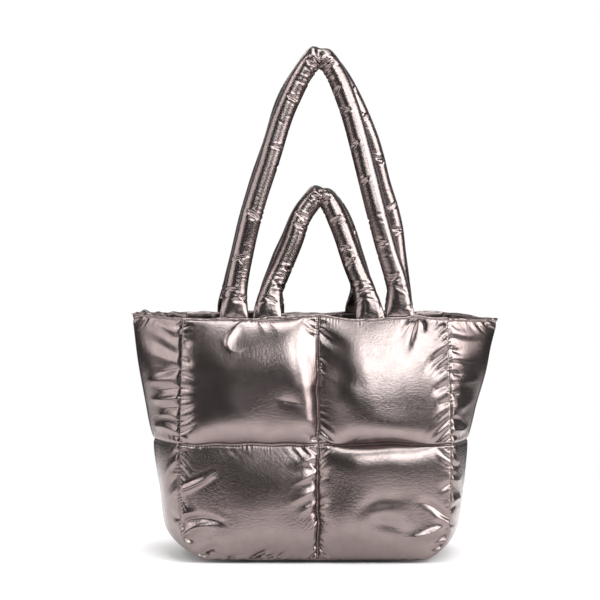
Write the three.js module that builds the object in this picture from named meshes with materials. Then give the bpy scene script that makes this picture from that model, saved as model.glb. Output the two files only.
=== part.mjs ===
// Puffer tote bag: two quilted front and back panels, one padded gusset strip that runs down one
// side, under the bag and up the other side, a facing inside the rim, and two pairs of stuffed tube
// handles, a long pair for the shoulder and a short pair for the hand.
// Millimetres, +Z up. The front of the bag looks towards -Y, +X is to its right as it is looked at.
// The origin is on the floor under the middle of the bag, which stands on its padded base.
import * as THREE from "three";

// ---------------------------------------------------------------- driving dimensions
const RIM_Z = 258; // height of the rim
const HEM = 7; // flat hem between the rim and its row of stitches
const QUILT_Z = 121; // height of the level quilting seam
const QUILT_X = 2.7; // the upright quilting seam sits a little right of the middle
const CORNER_R = 36; // radius of the panels' bottom corners
const CORNER_Z = 43; // height where a bottom corner starts to turn
const BASE_SEAM_Z = CORNER_Z - CORNER_R; // height of the seam along the bottom
const BASE_MID_Z = 8; // middle of the padded base
const EDGE = 1.6; // half of the wall's thickness at a seam
const FLAT_IN = 2; // wall's inner half where the facing lies on it
const SEAM_GAP = 0.25; // each piece stops this far from the seam line
const PANEL_PUFF_OUT = 15; // height of a panel's puff outside
const PANEL_PUFF_IN = 5; // and inside
const GUSSET_PUFF_OUT = 7.5;
const GUSSET_PUFF_IN = 4;
const PUFF_POWER = 2.6; // higher is a fuller puff with steeper edges
const FACING_T = 1.5; // facing cloth
const FACING_FALL = 30; // how far the facing reaches down inside
const LAY_GAP = 0.45; // gap between layers that lie on each other
const TAB_T = 4.2; // a handle's flattened end in the rim seam
const TAB_W = 28;
const TAB_FALL = 16; // how far a handle's end reaches down behind the rim
const RIM_LIFT_FALL = 45; // the rim's waves die out this far below it

// The body at its heights: half width at the gusset seams, half depth at the panels, half width at
// the gusset's middle fold on each side, and how the gusset is bent there (1 is a sharp fold, 2 an arc).
const SECTIONS = [
  { z: 7, seam: 142, depth: 73, foldLeft: 150, foldRight: 147, bend: 2 },
  { z: 43, seam: 142, depth: 71.5, foldLeft: 157, foldRight: 151, bend: 2 },
  { z: 80, seam: 143.5, depth: 70, foldLeft: 163, foldRight: 155, bend: 1.9 },
  { z: 121, seam: 144, depth: 67.5, foldLeft: 173, foldRight: 164, bend: 1.75 },
  { z: 165, seam: 143.5, depth: 62.5, foldLeft: 178, foldRight: 170, bend: 1.5 },
  { z: 210, seam: 142.5, depth: 56, foldLeft: 187, foldRight: 182, bend: 1.3 },
  { z: 258, seam: 141, depth: 47, foldLeft: 197, foldRight: 197, bend: 1.2 },
];

// Waves of the rim: how much the front and the back edge rise above RIM_Z along the bag.
const RIM_WAVES = [
  { x: -141, front: -1, back: 1 },
  { x: -68, front: -1, back: 2 },
  { x: -28, front: 1, back: 1 },
  { x: 5, front: 3, back: 0 },
  { x: 40, front: -2, back: 1 },
  { x: 75, front: -1, back: 2 },
  { x: 104, front: 1.5, back: 2 },
  { x: 141, front: -1, back: 1 },
];
const FOLD_DROP = { left: 1, right: 7 }; // the rim is this much lower at each gusset's fold

// The main soft folds of the front and back panels: a ridge (rise over 0) or a dent (under 0) on a
// line from one end to the other, fading across its width.
const PANEL_FOLDS = [
  { fromX: -70, fromZ: 250, toX: -90, toZ: 218, width: 8, rise: 3 }, // pull of the left handles
  { fromX: 102, fromZ: 250, toX: 84, toZ: 205, width: 9, rise: -2.5 }, // pull of the right handles
  { fromX: -46, fromZ: 166, toX: -6, toZ: 163, width: 8, rise: -3 }, // crease at the upright seam
  { fromX: 14, fromZ: 190, toX: 78, toZ: 168, width: 10, rise: -3 }, // long crease, upper right
  { fromX: 125, fromZ: 176, toX: 96, toZ: 150, width: 8, rise: -2.5 }, // gathers, upper right seam
  { fromX: -136, fromZ: 36, toX: -88, toZ: 48, width: 8, rise: -3.5 }, // bottom left corner
  { fromX: -136, fromZ: 78, toX: -104, toZ: 92, width: 8, rise: 2.5 }, // lower left seam
  { fromX: 136, fromZ: 52, toX: 100, toZ: 64, width: 8, rise: -3.5 }, // bottom right corner
  { fromX: 130, fromZ: 34, toX: 62, toZ: 40, width: 9, rise: 3 }, // roll over that corner
];

// Where each handle stands on the rim, its height above the rim at the middle of the tube, and how
// much deeper the tube is where it folds over at the top.
const HANDLES = [
  { name: "long_handle_front", side: -1, drop: 280, legs: "longFront", apexX: 5, apexSwell: 5 },
  { name: "long_handle_back", side: 1, drop: 280, legs: "longBack", apexX: 5, apexSwell: 5 },
  { name: "short_handle_front", side: -1, drop: 128, legs: "shortFront", apexX: 6.5, apexSwell: 1 },
  { name: "short_handle_back", side: 1, drop: 128, legs: "shortBack", apexX: 6.5, apexSwell: 1 },
];
const SWELL_REACH = 12; // the fold's swelling dies out this far from the top
const APEX_Y = 11.4; // a pair's two tubes lean together and lie side by side at the top
// Route of a handle's two legs: share of the drop, then x of the left and of the right leg.
const LEGS = {
  longFront: [
    { rise: 0, left: -86, right: 90 },
    { rise: 0.12, left: -84.5, right: 87.5 },
    { rise: 0.31, left: -74, right: 71 },
    { rise: 0.56, left: -53.5, right: 53 },
    { rise: 0.81, left: -30.5, right: 34.5 },
    { rise: 0.935, left: -14.5, right: 22.5 },
  ],
  longBack: [
    { rise: 0, left: -92, right: 92 },
    { rise: 0.12, left: -87.5, right: 92 },
    { rise: 0.31, left: -75.5, right: 86.5 },
    { rise: 0.56, left: -55, right: 68 },
    { rise: 0.81, left: -31, right: 43 },
    { rise: 0.935, left: -14.5, right: 25 },
  ],
  shortFront: [
    { rise: 0, left: -51, right: 59 },
    { rise: 0.2, left: -46.5, right: 52.5 },
    { rise: 0.4, left: -35.5, right: 42.5 },
    { rise: 0.6, left: -25, right: 33 },
    { rise: 0.8, left: -14.5, right: 23.5 },
    { rise: 0.9, left: -8, right: 18.5 },
  ],
  shortBack: [
    { rise: 0, left: -48, right: 48 },
    { rise: 0.2, left: -47, right: 51 },
    { rise: 0.4, left: -38, right: 46 },
    { rise: 0.6, left: -27, right: 38 },
    { rise: 0.8, left: -15.5, right: 27.5 },
    { rise: 0.9, left: -8.5, right: 20.5 },
  ],
};
// A handle's section at its height above the rim: a flat end that fills out to a round tube.
const HANDLE_SECTIONS = [
  { above: 0, width: TAB_W, thick: TAB_T },
  { above: 6, width: 27.5, thick: 8 },
  { above: 18, width: 25.5, thick: 15 },
  { above: 40, width: 22.5, thick: 20 },
  { above: 80, width: 21.5, thick: 20.5 },
];
const TUBE_SIDES = 10;

// How finely the walls are cut.
const CELL_COLUMNS = 9; // columns of each quilted cell across a panel
const LOWER_ROWS = 6; // rows from a corner's top up to the level seam
const UPPER_ROWS = 7; // rows from the level seam up to the hem
const CORNER_ROWS = 4; // rows round a bottom corner
const GUSSET_STEPS = [-1, -0.84, -0.56, -0.26, 0, 0.26, 0.56, 0.84, 1]; // from the front seam to the back seam

// ---------------------------------------------------------------- small helpers
const V = (x, y, z) => new THREE.Vector3(x, y, z);
const clamp01 = (t) => Math.min(1, Math.max(0, t));
const smooth = (t) => clamp01(t) ** 2 * (3 - 2 * clamp01(t));

// A smooth reading of one column of a table at a value of its key column.
function read(table, key, value, column) {
  const last = table.length - 1;
  if (value <= table[0][key]) return table[0][column];
  if (value >= table[last][key]) return table[last][column];
  let i = 0;
  while (table[i + 1][key] < value) i++;
  const slope = (k) => (table[k + 1][column] - table[k][column]) / (table[k + 1][key] - table[k][key]);
  const step = table[i + 1][key] - table[i][key];
  const f = (value - table[i][key]) / step;
  const m0 = (i > 0 ? (slope(i - 1) + slope(i)) / 2 : slope(i)) * step;
  const m1 = (i + 1 < last ? (slope(i) + slope(i + 1)) / 2 : slope(i)) * step;
  const [a, b] = [table[i][column], table[i + 1][column]];
  return (2 * f ** 3 - 3 * f ** 2 + 1) * a + (f ** 3 - 2 * f ** 2 + f) * m0 + (3 * f ** 2 - 2 * f ** 3) * b + (f ** 3 - f ** 2) * m1;
}

// Height of a puff, from 0 at its seams (share 0 and 1) to 1 in the middle.
const puff = (share) => 1 - Math.abs(2 * clamp01(share) - 1) ** PUFF_POWER;

// ---------------------------------------------------------------- the body's middle surface
const section = (z, column) => read(SECTIONS, "z", z, column);
const seamX = (z) =>
  z >= CORNER_Z
    ? section(z, "seam")
    : section(CORNER_Z, "seam") - CORNER_R + Math.sqrt(Math.max(0, CORNER_R ** 2 - (CORNER_Z - z) ** 2));
const BASE_X = seamX(BASE_SEAM_Z); // half length of the straight bottom seam
const nearRim = (z) => smooth(1 - (RIM_Z - z) / RIM_LIFT_FALL);

// A point of the front (side -1) or back (side 1) panel at a share u of its half width.
function panelPoint(side, u, z) {
  const x = u * seamX(z);
  const lifted = z + nearRim(z) * read(RIM_WAVES, "x", x, side < 0 ? "front" : "back");
  return V(x, side * section(lifted, "depth"), lifted);
}
function panelNormal(side, z) {
  const slope = (section(z + 2, "depth") - section(z - 2, "depth")) / 4;
  return V(0, side, -slope).normalize();
}

// A place on the line of the gusset seam: on a side at a height, round a corner, or along the base.
const onSide = (end, z) => ({ end, z, x: end * seamX(z), turn: z >= CORNER_Z ? 0 : Math.asin((CORNER_Z - z) / CORNER_R) });
const onBase = (x) => ({ end: 0, z: BASE_SEAM_Z, x, turn: Math.PI / 2 });

// A point of the gusset strip at such a place, across from the front seam (t -1) to the back seam (t 1).
function gussetPoint(place, t) {
  const { end, z, x, turn } = place;
  const depth = section(z, "depth");
  if (end === 0) return V(x, depth * t, BASE_SEAM_Z + (BASE_MID_Z - BASE_SEAM_Z) * (1 - t * t));
  const bow = 1 - Math.abs(t) ** section(z, "bend");
  const column = end < 0 ? "foldLeft" : "foldRight";
  if (turn > 0) {
    const foldTop = section(CORNER_Z, column);
    const foldEnd = BASE_X + 5;
    const foldX = foldEnd + (foldTop - foldEnd) * Math.cos(turn);
    const foldZ = CORNER_Z - (CORNER_Z - BASE_MID_Z) * Math.sin(turn);
    return V(end * (Math.abs(x) + (foldX - Math.abs(x)) * bow), depth * t, z + (foldZ - z) * bow);
  }
  const across = Math.abs(x) + (section(z, column) - Math.abs(x)) * bow;
  const wave = read(RIM_WAVES, "x", end * 141, t < 0 ? "front" : "back");
  const drop = end < 0 ? FOLD_DROP.left : FOLD_DROP.right;
  return V(end * across, depth * t, z + nearRim(z) * (wave * Math.abs(t) - drop * bow));
}

// ---------------------------------------------------------------- rows, columns and the seam line
const spread = (from, to, count) =>
  Array.from({ length: count + 1 }, (_, k) => {
    const f = k / count;
    return from + (to - from) * (0.45 * f + 0.55 * (0.5 - 0.5 * Math.cos(Math.PI * f)));
  });
const QUILT_U = QUILT_X / seamX(QUILT_Z);
const COLUMNS = [...spread(-1, QUILT_U, CELL_COLUMNS), ...spread(QUILT_U, 1, CELL_COLUMNS).slice(1)];
const ROWS = [
  ...Array.from({ length: CORNER_ROWS }, (_, k) => CORNER_Z - CORNER_R * Math.sin((Math.PI / 2) * (1 - k / CORNER_ROWS))),
  ...spread(CORNER_Z, QUILT_Z, LOWER_ROWS),
  ...spread(QUILT_Z, RIM_Z - HEM, UPPER_ROWS).slice(1),
  RIM_Z,
];
// The whole seam line, from the left end of the rim round the bottom to the right end of the rim.
const SEAM = [
  ...[...ROWS].reverse().map((z) => onSide(-1, z)),
  ...COLUMNS.slice(1, -1).map((u) => onBase(u * BASE_X)),
  ...ROWS.map((z) => onSide(1, z)),
];

// The grid of the gusset's middle surface and its outward normals.
const INSIDE = V(0, 0, 120);
const gussetMid = SEAM.map((place) => GUSSET_STEPS.map((t) => gussetPoint(place, t)));
const gussetNormal = gussetMid.map((line, i) =>
  line.map((p, j) => {
    const along = gussetMid[Math.min(i + 1, SEAM.length - 1)][j].clone().sub(gussetMid[Math.max(i - 1, 0)][j]);
    const across = line[Math.min(j + 1, line.length - 1)].clone().sub(line[Math.max(j - 1, 0)]);
    const n = along.cross(across).normalize();
    return n.dot(p.clone().sub(INSIDE)) < 0 ? n.negate() : n;
  }),
);

// At the seam both pieces end on the plane that halves the corner between them.
const LAST_STEP = GUSSET_STEPS.length - 1;
const seamEdge = (i, side) => {
  const panelN = panelNormal(side, SEAM[i].z);
  const n = gussetNormal[i][side < 0 ? 0 : LAST_STEP].clone().add(panelN).normalize();
  return { dir: n, reach: 1 / Math.max(0.6, n.dot(panelN)) };
};

// ---------------------------------------------------------------- solids
// A closed padded wall from its outer and its inner grid of points.
function wall(outer, inner, ring = false) {
  const rows = outer.length, columns = outer[0].length;
  const points = [...outer.flat(), ...inner.flat()];
  const id = (layer, i, j) => layer * rows * columns + (i % rows) * columns + j;
  const tris = [];
  const quad = (a, b, c, d) => tris.push(a, b, c, a, c, d);
  const bands = ring ? rows : rows - 1;
  for (let i = 0; i < bands; i++) {
    for (let j = 0; j < columns - 1; j++) {
      quad(id(0, i, j), id(0, i + 1, j), id(0, i + 1, j + 1), id(0, i, j + 1));
      quad(id(1, i, j), id(1, i, j + 1), id(1, i + 1, j + 1), id(1, i + 1, j));
    }
    quad(id(0, i + 1, 0), id(0, i, 0), id(1, i, 0), id(1, i + 1, 0));
    const j = columns - 1;
    quad(id(0, i, j), id(0, i + 1, j), id(1, i + 1, j), id(1, i, j));
  }
  if (!ring)
    for (let j = 0; j < columns - 1; j++) {
      quad(id(0, 0, j), id(0, 0, j + 1), id(1, 0, j + 1), id(1, 0, j));
      const i = rows - 1;
      quad(id(0, i, j + 1), id(0, i, j), id(1, i, j), id(1, i, j + 1));
    }
  return solid(points, tris);
}

// A BufferGeometry with its faces pointing out.
function solid(points, tris) {
  let volume = 0;
  for (let k = 0; k < tris.length; k += 3)
    volume += points[tris[k]].dot(points[tris[k + 1]].clone().cross(points[tris[k + 2]]));
  if (volume < 0) for (let k = 0; k < tris.length; k += 3) [tris[k + 1], tris[k + 2]] = [tris[k + 2], tris[k + 1]];
  const g = new THREE.BufferGeometry().setFromPoints(points);
  g.setIndex(tris);
  g.computeVertexNormals();
  return g;
}

// The panels' soft folds at a place.
function foldsAt(x, z) {
  let sum = 0;
  for (const f of PANEL_FOLDS) {
    const dx = f.toX - f.fromX, dz = f.toZ - f.fromZ;
    const along = clamp01(((x - f.fromX) * dx + (z - f.fromZ) * dz) / (dx * dx + dz * dz));
    const off = Math.hypot(x - f.fromX - along * dx, z - f.fromZ - along * dz);
    sum += f.rise * Math.exp(-((off / f.width) ** 2));
  }
  return sum;
}

function panel(side) {
  const outer = [], inner = [];
  ROWS.forEach((z, r) => {
    const share = z < QUILT_Z ? (z - BASE_SEAM_Z) / (QUILT_Z - BASE_SEAM_Z) : (z - QUILT_Z) / (RIM_Z - HEM - QUILT_Z);
    const innerShare = z < QUILT_Z ? share : (z - QUILT_Z) / (RIM_Z - FACING_FALL - 6 - QUILT_Z);
    const o = [], n = [];
    COLUMNS.forEach((u, c) => {
      const p = panelPoint(side, u, z);
      const cell = u < QUILT_U ? (u + 1) / (QUILT_U + 1) : (u - QUILT_U) / (1 - QUILT_U);
      const full = puff(cell) * puff(share);
      let out = EDGE + PANEL_PUFF_OUT * full + foldsAt(side < 0 ? p.x : -p.x, p.z) * Math.min(1, 2.5 * full);
      let inn = EDGE + PANEL_PUFF_IN * puff(cell) * (innerShare < 1 ? puff(innerShare) : 0);
      if (z > RIM_Z - FACING_FALL - 8) inn = FLAT_IN;
      let dir = panelNormal(side, p.z);
      let reach = 1;
      const edge = c === 0 ? ROWS.length - 1 - r : c === COLUMNS.length - 1 ? SEAM.length - ROWS.length + r : r === 0 ? ROWS.length - 1 + c : -1;
      if (edge >= 0) {
        ({ dir, reach } = seamEdge(edge, side));
        out = EDGE;
        inn = z > RIM_Z - FACING_FALL - 8 ? FLAT_IN : EDGE;
        if (c === 0) p.x += SEAM_GAP;
        if (c === COLUMNS.length - 1) p.x -= SEAM_GAP;
        if (r === 0) p.z += SEAM_GAP;
      }
      o.push(p.clone().addScaledVector(dir, out * reach));
      n.push(p.clone().addScaledVector(dir, -inn * reach));
    });
    outer.push(o);
    inner.push(n);
  });
  return wall(outer, inner);
}

function gusset() {
  const outer = [], inner = [];
  SEAM.forEach((place, i) => {
    const { z, end } = place;
    const upper = end !== 0 && z > QUILT_Z;
    const along = upper
      ? puff((z - QUILT_Z) / (RIM_Z - HEM - QUILT_Z))
      : puff(Math.min(0.5, (QUILT_Z - (end === 0 ? 0 : z)) / 120));
    const o = [], n = [];
    GUSSET_STEPS.forEach((t, j) => {
      const p = gussetMid[i][j].clone();
      const across = puff((t + 1) / 2);
      let out = EDGE + GUSSET_PUFF_OUT * along * across;
      let inn = EDGE + GUSSET_PUFF_IN * along * across;
      if (end !== 0 && z > RIM_Z - FACING_FALL - 8) inn = FLAT_IN;
      let dir = gussetNormal[i][j];
      let reach = 1;
      if (j === 0 || j === LAST_STEP) {
        ({ dir, reach } = seamEdge(i, j === 0 ? -1 : 1));
        p.addScaledVector(gussetMid[i][j === 0 ? 1 : LAST_STEP - 1].clone().sub(p).normalize(), SEAM_GAP);
      }
      const low = p.clone().addScaledVector(dir, out * reach);
      low.z = Math.max(0, low.z < 0.6 ? 0 : low.z); // flattened where the bag stands on it
      o.push(low);
      n.push(p.clone().addScaledVector(dir, -inn * reach));
    });
    outer.push(o);
    inner.push(n);
  });
  return wall(outer, inner);
}

// How far the facing stands off the wall to make room for the handles' ends, from 0 to 1.
const tabsOf = (side) => HANDLES.filter((h) => h.side === side).flatMap((h) => [LEGS[h.legs][0].left, LEGS[h.legs][0].right]);
const TAB_FULL = TAB_W / 2 + 1.5, TAB_CLEAR = TAB_W / 2 + 8;
const overTab = (side, x) =>
  Math.max(0, ...tabsOf(side).map((tab) => clamp01((TAB_CLEAR - Math.abs(x - tab)) / (TAB_CLEAR - TAB_FULL))));

function facing() {
  const heights = [RIM_Z - FACING_FALL, RIM_Z - 14, RIM_Z - 0.4];
  const stations = [];
  const front = tabsOf(-1), back = tabsOf(1);
  const stops = (tabs) =>
    [...new Set([...tabs.flatMap((x) => [x - TAB_CLEAR, x - TAB_FULL, x + TAB_FULL, x + TAB_CLEAR]), -131, 0, 131].map((x) => Math.round(x * 2) / 2))].sort((a, b) => a - b);
  const addPanel = (side, xs) => xs.forEach((x) => stations.push({ side, x }));
  const addGusset = (end, steps) => steps.forEach((t) => stations.push({ end, t }));
  addPanel(-1, stops(front));
  addGusset(1, GUSSET_STEPS);
  addPanel(1, stops(back).reverse());
  addGusset(-1, [...GUSSET_STEPS].reverse());
  const outer = [], inner = [];
  for (const s of stations) {
    const o = [], n = [];
    for (const z of heights) {
      let p, dir, off = FLAT_IN + LAY_GAP, reach = 1;
      if (s.side) {
        p = panelPoint(s.side, s.x / seamX(z), z);
        dir = panelNormal(s.side, p.z);
        off += (TAB_T + LAY_GAP) * overTab(s.side, s.x);
      } else {
        const place = onSide(s.end, z);
        p = gussetPoint(place, s.t);
        const e = 0.02;
        const across = gussetPoint(place, Math.min(1, s.t + e)).sub(gussetPoint(place, Math.max(-1, s.t - e)));
        const up = gussetPoint(onSide(s.end, z), s.t).sub(gussetPoint(onSide(s.end, z - 4), s.t));
        dir = across.cross(up).normalize();
        if (dir.x * s.end < 0) dir.negate();
        if (Math.abs(s.t) === 1) {
          const panelN = panelNormal(Math.sign(s.t), z);
          dir.add(panelN).normalize();
          reach = 1 / dir.dot(panelN);
        }
        off += LAY_GAP;
        if (s.t === 0) reach = 1.45; // inside the sharp fold
      }
      o.push(p.clone().addScaledVector(dir, -off * reach));
      n.push(p.clone().addScaledVector(dir, -(off + FACING_T) * reach));
    }
    outer.push(o);
    inner.push(n);
  }
  return wall(outer, inner, true);
}

// A stuffed tube handle: flat ends behind the rim, and a route up one leg and down the other.
function handle({ side, drop, legs, apexX, apexSwell }) {
  const rows = LEGS[legs];
  const wallOff = FLAT_IN + LAY_GAP + TAB_T / 2;
  const endPoint = (x, below) => {
    const z = RIM_Z - below;
    const p = panelPoint(side, x / seamX(z), z);
    return p.addScaledVector(panelNormal(side, p.z), -wallOff);
  };
  const leg = (key) => [
    endPoint(rows[0][key], TAB_FALL),
    endPoint(rows[0][key], 0),
    ...rows.slice(1).map((r) => {
      const root = Math.abs(endPoint(rows[0][key], 0).y);
      return V(r[key], side * (root + (APEX_Y - root) * r.rise), RIM_Z + drop * r.rise);
    }),
  ];
  const apex = V(apexX, side * APEX_Y, RIM_Z + drop);
  const route = [...leg("left"), apex, ...leg("right").reverse()];
  const curve = new THREE.CatmullRomCurve3(route, false, "centripetal");
  const spans = route.length - 1;
  const cuts = [0];
  for (let k = 0; k < spans; k++) {
    const fromEnd = Math.min(k, spans - 1 - k);
    const pieces = fromEnd === 0 ? 1 : fromEnd === 1 ? 4 : fromEnd >= spans / 2 - 1 ? 3 : 2;
    for (let m = 1; m <= pieces; m++) cuts.push((k + m / pieces) / spans);
  }
  const points = [], tris = [];
  for (const t of cuts) {
    const c = curve.getPoint(t), along = curve.getTangent(t);
    const thickDir = V(0, 1, 0).addScaledVector(along, -along.y).normalize();
    const wideDir = along.clone().cross(thickDir);
    const above = c.z - endPoint(rows[0][c.x < apexX ? "left" : "right"], 0).z - 1.5;
    const swell = apexSwell * Math.exp(-((c.distanceTo(apex) / SWELL_REACH) ** 2));
    const w = (read(HANDLE_SECTIONS, "above", above, "width") + swell) / 2;
    const h = read(HANDLE_SECTIONS, "above", above, "thick") / 2;
    for (let k = 0; k < TUBE_SIDES; k++) {
      const a = (2 * Math.PI * (k + 0.5)) / TUBE_SIDES;
      points.push(c.clone().addScaledVector(wideDir, w * Math.cos(a)).addScaledVector(thickDir, h * Math.sin(a)));
    }
  }
  const n = TUBE_SIDES, last = (cuts.length - 1) * n;
  for (let i = 0; i < cuts.length - 1; i++)
    for (let k = 0; k < n; k++) {
      const a = i * n + k, b = i * n + ((k + 1) % n);
      tris.push(a, b, b + n, a, b + n, a + n);
    }
  for (let k = 1; k < n - 1; k++) tris.push(0, k + 1, k, last, last + k, last + k + 1);
  return solid(points, tris);
}

// ---------------------------------------------------------------- the bag
const shell = () => new THREE.MeshStandardMaterial({ color: 0x8f8280, roughness: 0.32, metalness: 0.9 });
const rimCloth = () => new THREE.MeshStandardMaterial({ color: 0x7f7371, roughness: 0.36, metalness: 0.9 });
const bag = new THREE.Group();
bag.name = "puffer_tote_bag";
function add(name, geometry, material) {
  const mesh = new THREE.Mesh(geometry, material);
  mesh.name = name;
  bag.add(mesh);
}
add("front_panel", panel(-1), shell());
add("back_panel", panel(1), shell());
add("gusset", gusset(), shell());
add("rim_facing", facing(), rimCloth());
for (const h of HANDLES) add(h.name, handle(h), shell());

export default bag;
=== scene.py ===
import math

import bpy
import numpy as np
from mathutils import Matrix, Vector


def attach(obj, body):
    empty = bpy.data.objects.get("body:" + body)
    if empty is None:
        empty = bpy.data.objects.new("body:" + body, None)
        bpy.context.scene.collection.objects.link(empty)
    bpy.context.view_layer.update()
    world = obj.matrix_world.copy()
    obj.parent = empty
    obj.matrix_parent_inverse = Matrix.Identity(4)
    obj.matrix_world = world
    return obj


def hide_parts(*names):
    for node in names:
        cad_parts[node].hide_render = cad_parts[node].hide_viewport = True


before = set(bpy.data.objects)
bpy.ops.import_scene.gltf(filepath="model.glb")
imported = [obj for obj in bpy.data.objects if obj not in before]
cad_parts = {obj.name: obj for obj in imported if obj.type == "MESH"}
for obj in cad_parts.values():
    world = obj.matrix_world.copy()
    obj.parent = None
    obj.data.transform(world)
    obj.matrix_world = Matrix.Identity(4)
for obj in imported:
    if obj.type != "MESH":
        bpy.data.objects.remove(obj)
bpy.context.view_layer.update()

MM = 0.001

# ------------------------------------------------------------------ sizes of the bag, in millimetres
RIM_Z, HEM = 258.0, 2.6
QUILT_Z, QUILT_X = 125.0, 2.7
CORNER_R, CORNER_Z = 36.0, 43.0
BASE_SEAM_Z, BASE_MID_Z = 3.6, 8.0
CORNER_H = CORNER_Z - BASE_SEAM_Z
RIM_LIFT_FALL = 45.0
FACING_FALL = 30.0
TAB_T, TAB_W, TAB_FALL = 4.2, 28.0, 16.0
FLAT_IN, LAY_GAP = 2.0, 0.45
APEX_Y = 11.4
HEM_Z = RIM_Z - HEM

SECTIONS = dict(
    z=[7, 43, 80, 121, 165, 210, 258],
    seam=[142, 142, 143.5, 144, 143.5, 142.5, 141],
    depth=[73, 71.5, 70, 67.5, 62.5, 56, 47],
    left=[150, 157, 163, 173, 178, 187, 197],
    right=[147, 151, 155, 164, 170, 182, 197],
    bend=[2, 2, 1.9, 1.75, 1.5, 1.3, 1.2],
)
RIM_WAVES = dict(
    x=[-141, -68, -28, 5, 40, 75, 104, 141],
    front=[-1, -1, 1, 3, -2, -1, 1.5, -1],
    back=[1, 2, 1, 0, 1, 2, 2, 1],
)
FOLD_DROP = {-1: -3.0, 1: 4.5}
LEGS = dict(
    long_handle_front=dict(side=-1, drop=280, apex=5, swell=8, sink=2.5,
        rise=[0, 0.12, 0.31, 0.56, 0.81, 0.935],
        left=[-86, -83.5, -72.8, -52.3, -29.8, -11.5], right=[90, 87.5, 72, 53.5, 34.5, 20.5]),
    long_handle_back=dict(side=1, drop=280, apex=5, swell=8, sink=2.5,
        rise=[0, 0.12, 0.31, 0.56, 0.81, 0.935],
        left=[-92, -87.5, -75.5, -55, -31, -12], right=[92, 92, 86.5, 68, 43, 23]),
    short_handle_front=dict(side=-1, drop=132, apex=6.5, swell=3.5, sink=1.2,
        rise=[0, 0.2, 0.4, 0.6, 0.8, 0.9],
        left=[-51, -46.5, -35.5, -25, -14.5, -6.3], right=[59, 52.5, 42.5, 33, 23.5, 17]),
    short_handle_back=dict(side=1, drop=132, apex=6.5, swell=3.5, sink=1.2,
        rise=[0, 0.2, 0.4, 0.6, 0.8, 0.9],
        left=[-48, -47, -38, -27, -15.5, -6.8], right=[48, 51, 46, 38, 27.5, 19]),
)
HANDLE_SECTIONS = dict(above=[-5, -1, 3, 8, 16, 28, 50, 80], width=[28, 29.5, 30.5, 30, 28, 25, 22.5, 21.5], thick=[4.2, 4.6, 6.8, 10.5, 15, 18.5, 20.5, 20.5])

# ------------------------------------------------------------------ helpers
def reader(table, key, column):
    """A smooth reading of one column of a table."""
    k, v = np.array(table[key], float), np.array(table[column], float)
    s = np.diff(v) / np.diff(k)
    m = np.concatenate([[s[0]], (s[:-1] + s[1:]) / 2, [s[-1]]])

    def read(x):
        x = np.clip(np.asarray(x, float), k[0], k[-1])
        i = np.clip(np.searchsorted(k, x, side="right") - 1, 0, len(k) - 2)
        h = k[i + 1] - k[i]
        t = (x - k[i]) / h
        return ((2 * t**3 - 3 * t**2 + 1) * v[i] + (t**3 - 2 * t**2 + t) * h * m[i]
                + (3 * t**2 - 2 * t**3) * v[i + 1] + (t**3 - t**2) * h * m[i + 1])
    return read


depth_at = reader(SECTIONS, "z", "depth")
side_seam = reader(SECTIONS, "z", "seam")
bend_at = reader(SECTIONS, "z", "bend")
fold_at = {-1: reader(SECTIONS, "z", "left"), 1: reader(SECTIONS, "z", "right")}
wave_at = {-1: reader(RIM_WAVES, "x", "front"), 1: reader(RIM_WAVES, "x", "back")}
tube_width = reader(HANDLE_SECTIONS, "above", "width")
tube_thick = reader(HANDLE_SECTIONS, "above", "thick")
BASE_X = float(side_seam(CORNER_Z)) - CORNER_R


def smooth(t):
    t = np.clip(t, 0, 1)
    return t * t * (3 - 2 * t)


def unit(v):
    return v / np.maximum(np.linalg.norm(v, axis=-1, keepdims=True), 1e-9)


def near_rim(z):
    return smooth(1 - (RIM_Z - z) / RIM_LIFT_FALL)


def waves(seed, count, short, long):
    """A smooth random field over a plane, from a fixed seed, with wavelengths from short to long (mm)."""
    r = np.random.default_rng(seed)
    length = np.exp(r.uniform(math.log(short), math.log(long), count))
    turn, phase = r.uniform(0, 2 * math.pi, count), r.uniform(0, 2 * math.pi, count)
    amp = r.uniform(0.6, 1.0, count) * np.sqrt(2 / count)

    def field(a, b):
        out = np.zeros(np.broadcast(a, b).shape)
        for k in range(count):
            out += amp[k] * np.sin(2 * math.pi / length[k] * (a * math.cos(turn[k]) + b * math.sin(turn[k])) + phase[k])
        return out
    return field


# ------------------------------------------------------------------ cloth on a grid
def grid_normals(X, wrap=False):
    if wrap:
        du = np.roll(X, -1, 1) - np.roll(X, 1, 1)
    else:
        du = np.empty_like(X)
        du[:, 1:-1] = X[:, 2:] - X[:, :-2]
        du[:, 0], du[:, -1] = X[:, 1] - X[:, 0], X[:, -1] - X[:, -2]
    dv = np.empty_like(X)
    dv[1:-1] = X[2:] - X[:-2]
    dv[0], dv[-1] = X[1] - X[0], X[-1] - X[-2]
    n = np.cross(du, dv)
    return n / np.maximum(np.sqrt((n * n).sum(-1, keepdims=True)), 1e-9)


def lengths(M, grow_u, grow_v, wrap=False):
    """Rest lengths of the cloth's threads and diagonals: those of the grid M, longer by the growth."""
    if wrap:
        M = np.concatenate([M, M[:, :1]], 1)
        grow_u = np.concatenate([grow_u, grow_u[:, :1]], 1)
        grow_v = np.concatenate([grow_v, grow_v[:, :1]], 1)
    d = lambda a, b: np.linalg.norm(b - a, axis=-1)
    gu = 1 + (grow_u[:, 1:] + grow_u[:, :-1]) / 2
    gv = 1 + (grow_v[1:] + grow_v[:-1]) / 2
    lu, lv = d(M[:, :-1], M[:, 1:]) * gu, d(M[:-1], M[1:]) * gv
    gd = 1 + (grow_u[:-1, :-1] + grow_v[:-1, :-1] + grow_u[1:, 1:] + grow_v[1:, 1:]) / 4
    return lu, lv, d(M[:-1, :-1], M[1:, 1:]) * gd, d(M[:-1, 1:], M[1:, :-1]) * gd


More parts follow.
